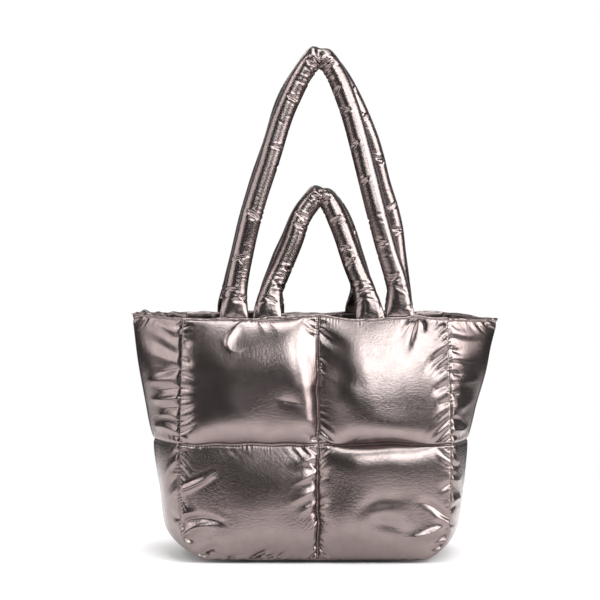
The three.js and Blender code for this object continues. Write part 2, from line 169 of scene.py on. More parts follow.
def pair(X, w, A, B, L, kt, kc):
    a, b = X[A], X[B]
    d = b - a
    l = np.sqrt(np.einsum("ijk,ijk->ij", d, d)) + 1e-9
    c = 1 - L / l
    wa, wb = w[A], w[B]
    s = np.where(c > 0, kt, kc) * c / np.maximum(wa + wb, 1e-6)
    d *= s[..., None]
    X[A] = a + d * wa[..., None]
    X[B] = b - d * wb[..., None]


def relax(X, w, rest, steps, iters, push, kt=1.0, kc=0.4, shear=0.35, bend=0.2, damp=0.9, wrap=False, hook=None, sign=1.0):
    """Lets the cloth settle: threads keep their lengths, push moves it along its own normal, pinned points (w 0) stay."""
    X, w = X.astype(np.float32), w.astype(np.float32)
    lu, lv, d1, d2 = [r.astype(np.float32) for r in rest]
    n, m = w.shape
    V = np.zeros_like(X)
    W = w[..., None]
    push = np.asarray(push, np.float32)
    S = slice
    jobs = []
    for o in (0, 1):
        k = (n - o) // 2
        jobs.append((0, (S(o, o + 2 * k, 2), S(None)), (S(o + 1, o + 2 * k, 2), S(None)), lv[o:o + 2 * k - 1:2] if not wrap else lv[o:o + 2 * k - 1:2, :m], kt, kc))
    if not wrap:
        for o in (0, 1):
            k = (m - o) // 2
            jobs.append((0, (S(None), S(o, o + 2 * k, 2)), (S(None), S(o + 1, o + 2 * k, 2)), lu[:, o:o + 2 * k - 1:2], kt, kc))
        for o in (0, 1):
            k = (n - o) // 2
            jobs.append((0, (S(o, o + 2 * k, 2), S(0, m - 1)), (S(o + 1, o + 2 * k, 2), S(1, m)), d1[o:o + 2 * k - 1:2], shear, shear * kc))
            jobs.append((0, (S(o, o + 2 * k, 2), S(1, m)), (S(o + 1, o + 2 * k, 2), S(0, m - 1)), d2[o:o + 2 * k - 1:2], shear, shear * kc))
    else:
        jobs.append((0, (S(None), S(0, m, 2)), (S(None), S(1, m, 2)), lu[:, 0:m:2], kt, kc))
        jobs.append((1, (S(None), S(0, m, 2)), (S(None), S(1, m, 2)), lu[:, 1:m:2], kt, kc))
        for o in (0, 1):
            k = (n - o) // 2
            rows, nxt = S(o, o + 2 * k, 2), S(o + 1, o + 2 * k, 2)
            jobs.append((2, rows, nxt, d1[o:o + 2 * k - 1:2], shear, shear * kc))
            jobs.append((3, rows, nxt, d2[o:o + 2 * k - 1:2], shear, shear * kc))
    for step in range(steps):
        P = X.copy()
        X += damp * V * W + (sign * push)[..., None] * grid_normals(X, wrap) * W
        for _ in range(iters):
            for kind, A, B, L, ka, kb in jobs:
                if kind == 0:
                    pair(X, w, A, B, L, ka, kb)
                elif kind == 1:
                    X = np.roll(X, -1, 1)
                    pair(X, np.roll(w, -1, 1), A, B, L, ka, kb)
                    X = np.roll(X, 1, 1)
                else:
                    turn = -1 if kind == 2 else 1
                    Y = X[A].copy()
                    Z = np.roll(X[B], turn, 1).copy()
                    wa, wb = w[A], np.roll(w[B], turn, 1)
                    d = Z - Y
                    l = np.sqrt(np.einsum("ijk,ijk->ij", d, d)) + 1e-9
                    c = 1 - (L if kind == 2 else np.roll(L, 1, 1)) / l
                    s = (np.where(c > 0, ka, kb) * c / np.maximum(wa + wb, 1e-6))[..., None]
                    X[A] = Y + d * s * wa[..., None]
                    X[B] = np.roll(Z - d * s * wb[..., None], -turn, 1)
        if bend:
            c = X[:-2] - 2 * X[1:-1] + X[2:]
            c *= W[1:-1]
            f = np.zeros_like(X)
            f[1:-1] += 2 * c
            f[:-2] -= c
            f[2:] -= c
            if wrap:
                c = np.roll(X, 1, 1) - 2 * X + np.roll(X, -1, 1)
                f += 2 * c - np.roll(c, -1, 1) - np.roll(c, 1, 1)
            else:
                c = X[:, :-2] - 2 * X[:, 1:-1] + X[:, 2:]
                c *= W[:, 1:-1]
                f[:, 1:-1] += 2 * c
                f[:, :-2] -= c
                f[:, 2:] -= c
            X += (bend / 16) * f * W
        if hook is not None:
            hook(X)
        V = X - P
    return X.astype(float)


def twice(X, axis):
    """The grid with a point more between each two along an axis, on a smooth curve through them."""
    X = np.moveaxis(X, axis, 0)
    ext = np.concatenate([[2 * X[0] - X[1]], X, [2 * X[-1] - X[-2]]])
    mid = (9 * (X[1:] + X[:-1]) - ext[:-3] - ext[3:]) / 16
    out = np.empty((2 * len(X) - 1,) + X.shape[1:])
    out[0::2], out[1::2] = X, mid
    return np.moveaxis(out, 0, axis)


def finer(X, cuts0, cuts1):
    """twice() both ways, with a crease kept at the grid lines in cuts0 and cuts1."""
    for axis, cuts in ((0, cuts0), (1, cuts1)):
        edges = [0, *cuts, X.shape[axis] - 1]
        parts = []
        for a, b in zip(edges[:-1], edges[1:]):
            p = twice(np.take(X, range(a, b + 1), axis), axis)
            parts.append(p if not parts else np.take(p, range(1, p.shape[axis]), axis))
        X = np.concatenate(parts, axis)
    return X


def settle(M, free, grow_u, grow_v, start, push, plan, cuts0, cuts1, **how):
    """Settles the cloth on a coarse grid first and then on finer ones, held softly at the wadding's height.
    plan has a row per level: stride, steps, iterations, push, stiffness of the wadding, bending, noise."""
    X = None
    for stride, steps, iters, scale, hold, bend, kick in plan:
        s = (slice(None, None, stride), slice(None, None, stride))
        if X is None:
            X = start[s].copy()
        else:
            X = finer(X, [c // (2 * stride) for c in cuts0], [c // (2 * stride) for c in cuts1])
        X += kick * how["noise"][s][..., None] * grid_normals(X) * free[s][..., None] * how.get("sign", 1.0)
        pins = free[s] == 0
        X[pins] = M[s][pins]
        hook = how.get("hook")
        top, nor = how["top"][s].astype(np.float32), how["normal"][s].astype(np.float32)
        give = (hold * free[s]).astype(np.float32)[..., None]

        def wadding(Y):
            Y += give * ((top - Y) * nor).sum(-1, keepdims=True) * nor
            if hook:
                hook(Y, s)
        X = relax(X, free[s], lengths(M[s], grow_u[s], grow_v[s]), steps, iters, push[s] * scale, bend=bend,
                  hook=wadding, sign=how.get("sign", 1.0), kc=how.get("kc", 0.4))
    return X


def grid_faces(n, m, base=0, wrap=False, flip=False):
    i, j = np.meshgrid(np.arange(n - 1), np.arange(m if wrap else m - 1), indexing="ij")
    k = (j + 1) % m
    q = np.stack([i * m + j, i * m + k, (i + 1) * m + k, (i + 1) * m + j], -1).reshape(-1, 4) + base
    return q[:, ::-1] if flip else q


def make(name, verts, quads, uv=None, tris=None, smooth_faces=True):
    """A mesh object from points in millimetres."""
    me = bpy.data.meshes.new(name)
    verts = np.asarray(verts, float).reshape(-1, 3) * MM
    faces = [tuple(map(int, q)) for q in quads] + ([tuple(map(int, t)) for t in tris] if tris is not None else [])
    me.from_pydata(verts.tolist(), [], faces)
    if smooth_faces:
        me.polygons.foreach_set("use_smooth", [True] * len(me.polygons))
    if uv is not None:
        layer = me.uv_layers.new(name="cloth")
        loops = np.empty(len(me.loops), np.int32)
        me.loops.foreach_get("vertex_index", loops)
        layer.data.foreach_set("uv", np.asarray(uv, np.float32)[loops].reshape(-1))
    me.update()
    ob = bpy.data.objects.new(name, me)
    bpy.context.scene.collection.objects.link(ob)
    return ob


def gather_cloth(Xf, seam_d, seam_s, sign, amp, reach, pitch, seed, slant=0.0, narrow=False):
    """Small uneven gathers where the thread pulls the cloth together at a seam; narrow ones are creases."""
    drift = 2.6 * waves(seed, 10, 12, 60)(seam_s, seam_d * 0)
    strong = np.clip(0.55 + 0.6 * waves(seed + 50, 10, 10, 45)(seam_s, seam_d * 0), 0.05, 1.4)
    ripple = np.cos(2 * math.pi * (seam_s + slant * seam_d) / pitch + drift)
    if narrow:
        ripple = 0.25 - np.maximum(0, ripple) ** 3
    ripple = ripple * np.exp(-seam_d / (reach * (0.5 + 0.7 * strong))) * smooth(seam_d / 1.2)
    return Xf + (sign * amp * strong * ripple)[..., None] * grid_normals(Xf)


def fold_heights(x, z, folds, power=2.0, narrow=1.0):
    """Heights of drawn folds: each row has its line of points, half width at its start and at its end, height,
    lean (the left flank is wider by this share, the right one narrower) and 1 if it starts at a seam. A lower power
    gives a sharper line along the fold."""
    shape, x, z = np.shape(x), np.ravel(x), np.ravel(z)
    total = np.zeros_like(x)
    for line, w0, w1, rise, lean, at_seam in folds:
        P = along(spline(line), 24)
        far = 3.4 * max(w0, w1) * narrow ** (1 / power) * (1 + abs(lean)) + 2
        here = np.flatnonzero((x > P[:, 0].min() - far) & (x < P[:, 0].max() + far) & (z > P[:, 1].min() - far) & (z < P[:, 1].max() + far))
        px, pz = x[here], z[here]
        best, t_at, left = np.full(px.shape, 1e9), np.zeros_like(px), np.zeros_like(px)
        for k in range(24):
            a, d = P[k], P[k + 1] - P[k]
            q = np.clip(((px - a[0]) * d[0] + (pz - a[1]) * d[1]) / (d @ d), 0, 1)
            ex, ez = px - a[0] - q * d[0], pz - a[1] - q * d[1]
            off = np.hypot(ex, ez)
            near = off < best
            best = np.where(near, off, best)
            t_at = np.where(near, (k + q) / 24, t_at)
            left = np.where(near, np.tanh((d[0] * ez - d[1] * ex) / np.linalg.norm(d)), left)
        wide = narrow * (w0 + (w1 - w0) * t_at) * (1 + lean * left)
        fade = smooth((1 - t_at) / 0.75) * (1.0 if at_seam else smooth((t_at + 0.03) / 0.4))
        total[here] += rise * fade * np.exp(-((best / wide) ** power))
    return total.reshape(shape)


def narrow_ones(folds):
    """The folds that are sharp along their line."""
    return [f for f in folds if max(f[1], f[2]) <= 6]


def creases(S, a, marks):
    """Heights of sharp creases across a tube: each mark has its place along the tube, turn round it, depth, slant,
    curve, half length (radians) and half width."""
    out = np.zeros(np.broadcast(S, a).shape)
    for s0, turn, depth, slant, curve, half, wide in marks:
        da = np.angle(np.exp(1j * (a - turn)))
        d = (S - s0) - 10.8 * (slant * da + curve * da * da)
        fade = smooth((half - np.abs(da)) / (0.7 * half))
        line = -np.exp(-np.sqrt(d * d + 0.12) / wide)
        banks = 0.26 * np.exp(-((d - 2.4 * wide) / (1.5 * wide)) ** 2) + 0.14 * np.exp(-((d + 2.4 * wide) / (1.5 * wide)) ** 2)
        out += depth * fade * (line + banks)
    return out


def groove(Xf, d, sign, depth):
    """The cloth dips to the thread right at a quilting seam."""
    return Xf - (sign * depth * np.exp(-(d / 1.15) ** 2))[..., None] * grid_normals(Xf)


def tuck(ring):
    """Direction in which the edges of two pieces turn in together at the seam between them."""
    return unit(np.stack([0.5 * ring[..., 0], 0 * ring[..., 0], 120 + 0 * ring[..., 0]], -1) - ring)


HEM_PROFILE = ((0.12, 0.5), (0.28, 0.95), (0.5, 1.1), (0.72, 1.0), (0.9, 0.65), (1.0, 0.0), (0.95, -0.7), (0.8, -1.1), (0.55, -1.3))


# ------------------------------------------------------------------ front and back panels
def panel_normal(side, z):
    slope = (depth_at(z + 2) - depth_at(z - 2)) / 4
    return unit(np.stack([np.zeros_like(z), np.full_like(z, side), -slope], -1))


def panel_point(side, x, z, extra=0.0):
    """A point of a panel's middle surface; the rim's waves move it up or down on that surface."""
    z = z + near_rim(z) * (wave_at[side](x) + extra)
    return np.stack([x, side * depth_at(z), z], -1)


# Each quilted cell's puff: height, where its crown is (shares of its width and height), how far the crown slants from
# the bottom to the top, and how full the cell is towards each edge.
CELLS = dict(
    lower_left=dict(rise=9.5, crown=(0.89, 0.46), slant=0.0, left=1.8, right=2.0, bottom=2.8, top=1.5),
    lower_right=dict(rise=13.0, crown=(0.32, 0.50), slant=0.0, left=2.3, right=2.2, bottom=3.0, top=6.5),
    upper_left=dict(rise=13.5, crown=(0.80, 0.56), slant=-0.16, left=6.0, right=2.2, bottom=6.5, top=1.8),
    upper_right=dict(rise=16.0, crown=(0.38, 0.375), slant=-0.19, left=1.5, right=1.4, bottom=5.5, top=1.5),
)
# How much longer the cloth is than the seam that gathers it: upright seams in the lower and in the upper cells,
# then the level ones.
GATHER = dict(left=(0.015, 0.03), middle=(0.05, 0.025), right=(0.025, 0.035), bottom=0.045, level=0.0, hem=0.006)
CELL = 72          # columns of a quilted cell
LOW, UP = 56, 64   # rows of the lower and the upper cells


def along(points, count):
    """count + 1 points at even steps along a polyline."""
    points = np.array(points, float)
    s = np.concatenate([[0], np.cumsum(np.linalg.norm(np.diff(points, axis=0), axis=1))])
    t = np.linspace(0, s[-1], count + 1)
    return np.stack([np.interp(t, s, points[:, k]) for k in range(points.shape[1])], 1)


def panel_xz():
    """The panel's flat layout: rows from the bottom seam to the hem's stitches, columns from left to right."""
    half = math.pi / 4
    c = float(side_seam(CORNER_Z)) - CORNER_R
    arc = lambda f0, f1: [(c + CORNER_R * math.cos(f), CORNER_Z - CORNER_H * math.sin(f)) for f in np.linspace(f0, f1, 24)]
    right_low = arc(half, 0) + [(float(side_seam(z)), z) for z in np.linspace(CORNER_Z + 1, QUILT_Z, 60)]
    bottom_right = [(QUILT_X, BASE_SEAM_Z)] + [(x, BASE_SEAM_Z) for x in np.linspace(10, c - 1, 40)] + arc(math.pi / 2, half)
    right = along(right_low, LOW)
    left = right * [-1, 1]
    mirror = [(-x, z) for x, z in bottom_right[1:]]
    bottom = np.concatenate([along([bottom_right[0]] + mirror, CELL)[::-1], along(bottom_right, CELL)[1:]])
    top_x = np.concatenate([np.linspace(-float(side_seam(QUILT_Z)), QUILT_X, CELL + 1), np.linspace(QUILT_X, float(side_seam(QUILT_Z)), CELL + 1)[1:]])
    top = np.stack([top_x, np.full_like(top_x, QUILT_Z)], 1)
    u = np.linspace(0, 1, 2 * CELL + 1)[None, :, None]
    v = np.linspace(0, 1, LOW + 1)[:, None, None]
    low = ((1 - v) * bottom[None] + v * top[None] + (1 - u) * left[:, None] + u * right[:, None]
           - ((1 - u) * (1 - v) * bottom[0] + u * (1 - v) * bottom[-1] + (1 - u) * v * top[0] + u * v * top[-1]))
    z = np.linspace(QUILT_Z, HEM_Z, UP + 1)[1:]
    up = np.empty((UP, 2 * CELL + 1, 2))
    for k, zz in enumerate(z):
        w = float(side_seam(zz))
        up[k, :, 0] = np.concatenate([np.linspace(-w, QUILT_X, CELL + 1), np.linspace(QUILT_X, w, CELL + 1)[1:]])
        up[k, :, 1] = zz
    return np.concatenate([low, up])


LAYOUT = panel_xz()


def bump_profile(share, power=2.4):
    return 1 - np.abs(2 * np.clip(share, 0, 1) - 1) ** power


def edge_profile(share, crown, low, high):
    far = np.where(share < crown, (crown - share) / crown, (share - crown) / (1 - crown))
    return 1 - np.clip(far, 0, 1) ** np.where(share < crown, low, high)


def uneven(seed, s, short=10, long=36):
    """A gain along a seam, from slack to tight."""
    return np.clip(1 + 0.95 * waves(seed, 9, short, long)(s, s * 0), 0.08, 2.5)


def panel(name, side, seed, folds, share=1.0):
    x, z = LAYOUT[..., 0].copy(), LAYOUT[..., 1].copy()
    n, m = x.shape
    rows, cols = np.arange(n)[:, None], np.arange(m)[None]
    share_v = np.where(rows < LOW, rows / LOW, (rows - LOW) / UP) + 0 * cols
    share_u = np.where(cols < CELL, cols / CELL, (cols - CELL) / CELL) + 0 * rows
    xs = x * (1 if side < 0 else -1)       # the back is built as a mirrored front
    # hand-guided seams are not quite straight
    inside = smooth(np.minimum(x - x[:, :1], x[:, -1:] - x) / 18) * smooth((z - z[:1]) / 18) * smooth((z[-1:] - z) / 18)
    z = z + 0.8 * inside * waves(seed + 40, 8, 24, 90)(x, 0 * x) * np.exp(-np.abs(z - QUILT_Z) / 14)
    x = x + 0.7 * inside * waves(seed + 41, 8, 24, 90)(z, 0 * z) * np.exp(-np.abs(x - QUILT_X) / 14)
    M = panel_point(side, x, z)
    N = panel_normal(side, M[..., 2])
    free = np.ones((n, m))
    free[0] = free[-1] = free[LOW] = 0
    free[:, 0] = free[:, -1] = free[:, CELL] = 0
    puff = np.zeros((n, m))
    for key, c in CELLS.items():
        on_left, low = key.endswith("left"), key.startswith("lower")
        here = ((rows <= LOW) if low else (rows > LOW)) & ((cols <= CELL) if on_left == (side < 0) else (cols > CELL))
        su = share_u if side < 0 else 1 - share_u
        ridge = c["crown"][0] + c["slant"] * (share_v - 0.5)
        p = c["rise"] * edge_profile(su, ridge, c["left"], c["right"]) * edge_profile(share_v, c["crown"][1], c["bottom"], c["top"])
        puff = np.where(here, p, puff)
    full = np.clip(puff / 13.0, 0, 1)
    d_left, d_mid, d_right = x - x[:, :1], np.abs(x - x[:, CELL:CELL + 1]), x[:, -1:] - x
    if side > 0:
        d_left, d_right = d_right, d_left
    d_bottom, d_level, d_hem = np.abs(z - z[:1]), np.abs(z - z[LOW:LOW + 1]), z[-1:] - z
    d_any = np.minimum.reduce([d_left, d_mid, d_right, d_bottom, d_level, d_hem])
    lumps = waves(seed + 3, 14, 40, 110)(x, z)
    fold = fold_heights(xs, z, folds) * smooth(d_any / 5.5) * share
    top = M + (puff + 1.1 * lumps * full + fold)[..., None] * N
    near = np.exp(-d_any / 16)
    noise = (0.15 + near) * (waves(seed, 28, 10, 34)(x, z) + 0.5 * waves(seed + 1, 28, 6, 13)(x, z))
    slow = waves(seed + 2, 12, 40, 140)(x, z)
    low = rows <= LOW
    gu, gv = 0.026 + 0.006 * slow, 0.026 - 0.006 * slow
    for k, (key, d) in enumerate((("left", d_left), ("middle", d_mid), ("right", d_right))):
        gv = gv + np.where(low, *GATHER[key]) * np.exp(-d / 8.5) * uneven(seed + 20 + k, z)
    for k, (key, d) in enumerate((("bottom", d_bottom), ("level", d_level), ("hem", d_hem))):
        gu = gu + GATHER[key] * np.exp(-d / 7.5) * uneven(seed + 30 + k, x)
    push = 0.01 * np.ones((n, m))
    sign = 1.0 if side < 0 else -1.0
    X = settle(M, free, gu, gv, top, push,
               [(4, 120, 3, 4.0, 0.06, 0.12, 1.3), (2, 140, 4, 2.0, 0.045, 0.14, 0.7), (1, 150, 4, 1.0, 0.035, 0.14, 0.35)],
               [LOW], [CELL], noise=noise, sign=sign, kc=0.45, top=top, normal=N)
    Xf = finer(X, [LOW], [CELL])
    Lf = finer(LAYOUT, [LOW], [CELL])
    # gathers along the seams
    d_col = np.minimum.reduce([np.abs(np.arange(2 * m - 1) - c) for c in (0, 2 * CELL, 2 * m - 2)])[None] * 1.0 + 0 * Lf[..., 0]
    d_row = np.minimum.reduce([np.abs(np.arange(2 * n - 1) - c) for c in (0, 2 * LOW, 2 * n - 2)])[:, None] * 1.0 + 0 * Lf[..., 0]
    crisp = fold_heights(Lf[..., 0] * (1 if side < 0 else -1), Lf[..., 1], narrow_ones(folds), 1.2, 0.5) * share
    crisp *= smooth(np.minimum(d_col, d_row) / 2.5)
    Xf = Xf + (sign * 0.38 * crisp)[..., None] * grid_normals(Xf)
    to_level = np.abs(np.arange(2 * n - 1) - 2 * LOW)[:, None] + 0 * d_col
    to_upright = np.abs(np.arange(2 * m - 1) - 2 * CELL)[None] + 0 * d_col
    Xf = gather_cloth(Xf, d_col, Lf[..., 1], sign, 0.55 * smooth(d_row / 3), 2.2, 3.4, seed + 5)
    Xf = gather_cloth(Xf, d_row, Lf[..., 0], sign, 0.50 * smooth(d_col / 3), 1.6, 3.2, seed + 6)
    # slanting gathers down the lower half of the upright seam
    lower = smooth((QUILT_Z - Lf[..., 1]) / 20) * smooth((Lf[..., 1] - BASE_SEAM_Z) / 4)
    Xf = gather_cloth(Xf, to_upright * 1.0, Lf[..., 1], sign, 1.8 * lower, 3.2, 4.4, seed + 8, 0.9, True)
    Xf = groove(Xf, np.minimum(to_level, to_upright), sign, 1.6)
    Xf = groove(Xf, to_upright + 40 * (1 - lower), sign, 0.9)
    # every stitch pulls the cloth in a little
    to_side = np.minimum(np.arange(2 * m - 1), np.arange(2 * m - 1)[::-1])[None] + 0 * d_col
    pull = np.cos(2 * math.pi * Lf[..., 0] / 3.0) * np.exp(-((to_level / 1.8) ** 2)) + np.cos(2 * math.pi * Lf[..., 1] / 3.0) * np.exp(-((to_upright / 1.8) ** 2)) \
        + 1.3 * np.cos(2 * math.pi * Lf[..., 1] / 3.2) * np.exp(-(((to_side - 1) / 2.0) ** 2))
    Xf = Xf - (sign * 0.42 * pull)[..., None] * grid_normals(Xf)
    for edge in (np.s_[:, 0], np.s_[:, -1], np.s_[0, 1:-1]):
        Xf[edge] += 1.7 * tuck(Xf[edge])
    for edge in (np.s_[1:, 1], np.s_[1:, -2], np.s_[1, 2:-2]):
        Xf[edge] += 0.8 * tuck(Xf[edge])
    # the hem above the row of stitches
    top_x = Xf[-1, :, 0]
    count = len(HEM_PROFILE)
    hem = []
    ripple = waves(seed + 7, 14, 5, 26)(top_x, top_x * 0)
    edge_wave = waves(seed + 8, 10, 18, 70)(top_x, top_x * 0)
    for share, out in HEM_PROFILE:
        zz = HEM_Z + HEM * share + 0 * top_x
        p = panel_point(side, top_x, zz, 0.6 * edge_wave)
        hem.append(p + ((out + 0.45 * ripple * math.sin(math.pi * min(share, 0.9)))[:, None]) * panel_normal(side, p[:, 2]))
    outer = np.concatenate([Xf, np.array(hem)])
    # the inner face, from the hem down
    step = 4
    Mi = M[::-1][::step, ::step]
    hi = (bump_profile(share_u) * np.where(rows < LOW, bump_profile(share_v), bump_profile(np.clip((rows - LOW) / (UP * 0.74), 0, 1))))[::-1][::step, ::step]
    slack = waves(seed + 9, 24, 16, 60)(x, z)[::-1][::step, ::step]
    inner = Mi - (FLAT_IN * 0.9 + 4.6 * hi + 0.7 * slack * np.minimum(1, 3 * hi))[..., None] * panel_normal(side, Mi[..., 2])
    # a turned edge along the seams
    ring = np.concatenate([outer[2 * n - 2::-1, 0], outer[0, 1:], outer[1:2 * n - 1, -1]])
    lip = np.stack([ring, ring + 2.4 * tuck(ring)], 0)
    verts = np.concatenate([outer.reshape(-1, 3), inner.reshape(-1, 3), lip.reshape(-1, 3)])
    a, b = outer.shape[0] * outer.shape[1], inner.shape[0] * inner.shape[1]
    front = side < 0
    quads = np.concatenate([
        grid_faces(outer.shape[0], outer.shape[1], 0, flip=not front),
        grid_faces(inner.shape[0], inner.shape[1], a, flip=not front),
        grid_faces(2, lip.shape[1], a + b, flip=front)])
    uv_h = np.stack([np.broadcast_to(top_x, (count, len(top_x))), np.broadcast_to(HEM_Z + np.arange(1, count + 1)[:, None] * 1.2, (count, len(top_x)))], -1)
    uv = np.concatenate([np.concatenate([Lf, uv_h]).reshape(-1, 2), LAYOUT[::-1][::step, ::step].reshape(-1, 2), np.zeros((lip.size // 3, 2))]) / 100.0
    ob = make(name, verts, quads, uv)
    return ob, {"upright": Xf[:, 2 * CELL], "level": Xf[2 * LOW], "hem": Xf[-1]}


# ------------------------------------------------------------------ gusset
def gusset_places():
    """Places along the gusset seam from the left rim round the bottom to the right rim: end, height, x, turn."""
    up = np.linspace(HEM_Z, QUILT_Z, 56 + 1)
    low = np.linspace(QUILT_Z, CORNER_Z, 32 + 1)[1:]
    turn = np.linspace(0, math.pi / 2, 24 + 1)[1:]
    base = np.linspace(-BASE_X, BASE_X, 88 + 1)[1:-1]
    rows = [(-1, z, 0.0, 0.0) for z in np.concatenate([up, low])]
    rows += [(-1, CORNER_Z, 0.0, t) for t in turn]
    rows += [(0, BASE_SEAM_Z, x, math.pi / 2) for x in base]
    rows += [(1, CORNER_Z, 0.0, t) for t in turn[::-1]]
    rows += [(1, z, 0.0, 0.0) for z in np.concatenate([up, low])[::-1]]
    return rows


def gusset_row(end, z, x, turn, t):
    if end == 0:
        return np.stack([0 * t + x, float(depth_at(BASE_SEAM_Z)) * t, BASE_SEAM_Z + (BASE_MID_Z - BASE_SEAM_Z) * (1 - t * t)], -1)
    if turn > 0:
        c = float(side_seam(CORNER_Z)) - CORNER_R
        sx, sz = c + CORNER_R * math.cos(turn), CORNER_Z - CORNER_H * math.sin(turn)
        top, last = float(fold_at[end](CORNER_Z)), BASE_X + 5
        fx, fz = last + (top - last) * math.cos(turn), CORNER_Z - (CORNER_Z - BASE_MID_Z) * math.sin(turn)
        bow = 1 - np.abs(t) ** float(bend_at(sz))
        return np.stack([end * (sx + (fx - sx) * bow), float(depth_at(sz)) * t, sz + (fz - sz) * bow], -1)
    bow = 1 - np.abs(t) ** float(bend_at(z))
    sx = float(side_seam(z))
    wave = np.where(t < 0, wave_at[-1](end * 141.0), wave_at[1](end * 141.0))
    lift = float(near_rim(z)) * (wave * np.abs(t) - FOLD_DROP[end] * bow)
    return np.stack([end * (sx + (float(fold_at[end](z)) - sx) * bow), float(depth_at(z)) * t, z + lift], -1)


# Folds of the two ends of the gusset, on a plane of depth (front seam at -73, back seam at 73) and height.
END_FOLDS = {
    -1: [
        ([(-73, 240), (-50, 247), (-22, 251)], 4, 6, 1.5, 0, 1),
        ([(-73, 223), (-48, 236), (-12, 248)], 5, 8, 1.5, 0, 1),
        ([(-73, 217), (-50, 228), (-25, 238)], 4, 7, -1.2, 0, 1),
        ([(-73, 210), (-52, 216), (-18, 226)], 4, 7, 1.4, 0, 1),
        ([(-73, 205), (-58, 201), (-40, 197)], 2.2, 1.5, -2.2, 0, 1),
        ([(-73, 195), (-52, 192), (-24, 188)], 6.5, 1.2, 3.0, -0.4, 1),
        ([(-73, 184), (-60, 182), (-44, 180)], 1.8, 1.2, -2.0, 0, 1),
        ([(-73, 174), (-54, 171), (-26, 169)], 5.5, 1.2, 2.6, -0.4, 1),
        ([(-73, 164), (-60, 162), (-46, 160)], 1.8, 1.2, -1.8, 0, 1),
        ([(-73, 153), (-60, 155), (-38, 152)], 3, 1.5, 1.4, 0, 1),
        ([(-73, 138), (-50, 141), (-18, 139)], 3, 4, 1.4, 0, 1),
        ([(-73, 110), (-60, 101), (-40, 84)], 3, 4, 0.8, 0, 1),
        ([(-73, 93), (-61, 84), (-46, 72)], 2.5, 3, -0.7, 0, 1),
        ([(-73, 80), (-60, 71), (-42, 57)], 3, 4, 0.8, 0, 1),
        ([(-73, 47), (-62, 48), (-46, 52)], 2.5, 2, -1.0, 0, 1),
        ([(73, 238), (46, 244), (10, 240)], 5, 7, 2.0, 0, 1),
        ([(73, 217), (58, 211), (34, 206)], 6, 1.6, 3.4, 0.3, 1),
        ([(73, 205), (60, 200), (46, 196)], 2.5, 1.2, -2.8, 0, 1),
        ([(73, 190), (52, 188), (22, 180)], 5, 2, 2.6, 0, 1),
        ([(73, 160), (60, 163), (44, 160)], 3, 1.4, -2.4, 0, 1),
        ([(73, 146), (50, 149), (20, 146)], 4, 4, 1.8, 0, 1),
        ([(73, 100), (60, 92), (38, 80)], 3, 4, 1.8, 0, 1),
        ([(73, 66), (56, 58), (30, 54)], 3, 4, 1.6, 0, 1),
    ],
    1: [
        ([(-73, 243), (-48, 240), (-16, 247)], 4, 7, 1.6, 0, 1),
        ([(-73, 224), (-65, 222), (-55, 217)], 2.8, 1.2, -2.0, 0, 1),
        ([(-73, 210), (-66, 210), (-57, 208)], 1.8, 1.2, -1.8, 0, 1),
        ([(-73, 199), (-65, 198), (-54, 194)], 2.0, 1.2, -2.0, 0, 1),
        ([(-73, 188), (-66, 188), (-56, 186)], 1.8, 1.0, -1.8, 0, 1),
        ([(-73, 177), (-66, 177), (-58, 178)], 2.2, 1.0, -2.2, 0, 1),
        ([(-73, 217), (-52, 214), (-24, 212)], 6.5, 4, 1.2, 0, 1),
        ([(-73, 193), (-50, 190), (-20, 192)], 6.5, 4, 1.0, 0, 1),
        ([(-73, 165), (-54, 163), (-22, 172)], 6.5, 5, 1.3, 0, 1),
        ([(-73, 152), (-62, 150), (-48, 146)], 2.4, 1.4, -1.0, 0, 1),
        ([(-73, 140), (-52, 138), (-26, 140)], 3, 4, 1.6, 0, 1),
        ([(-73, 104), (-62, 101), (-46, 103)], 2.6, 1.4, -0.9, 0, 1),
        ([(-73, 88), (-58, 86), (-34, 92)], 3, 4, 0.8, 0, 1),
        ([(-73, 64), (-56, 67), (-30, 61)], 3.5, 2.5, 2.8, 0.2, 1),
        ([(-73, 56), (-58, 60), (-34, 55)], 2.2, 1.4, -2.4, 0, 1),
        ([(-73, 42), (-60, 40), (-42, 44)], 2.6, 1.6, -2.0, 0, 1),
        ([(73, 241), (50, 238), (14, 243)], 5, 7, 2.0, 0, 1),
        ([(73, 222), (60, 219), (44, 213)], 2.8, 1.4, -2.8, 0, 1),
        ([(73, 208), (56, 204), (30, 202)], 5.5, 1.6, 3.2, 0.3, 1),
        ([(73, 186), (60, 187), (46, 184)], 2.6, 1.2, -2.6, 0, 1),
        ([(73, 172), (52, 168), (20, 170)], 4, 4, 2.2, 0, 1),
        ([(73, 148), (58, 144), (40, 144)], 3, 1.6, 2.0, 0, 1),
        ([(73, 102), (56, 98), (30, 102)], 3, 4, 1.8, 0, 1),
        ([(73, 70), (54, 64), (26, 66)], 3, 4, 1.8, 0, 1),
    ],
}


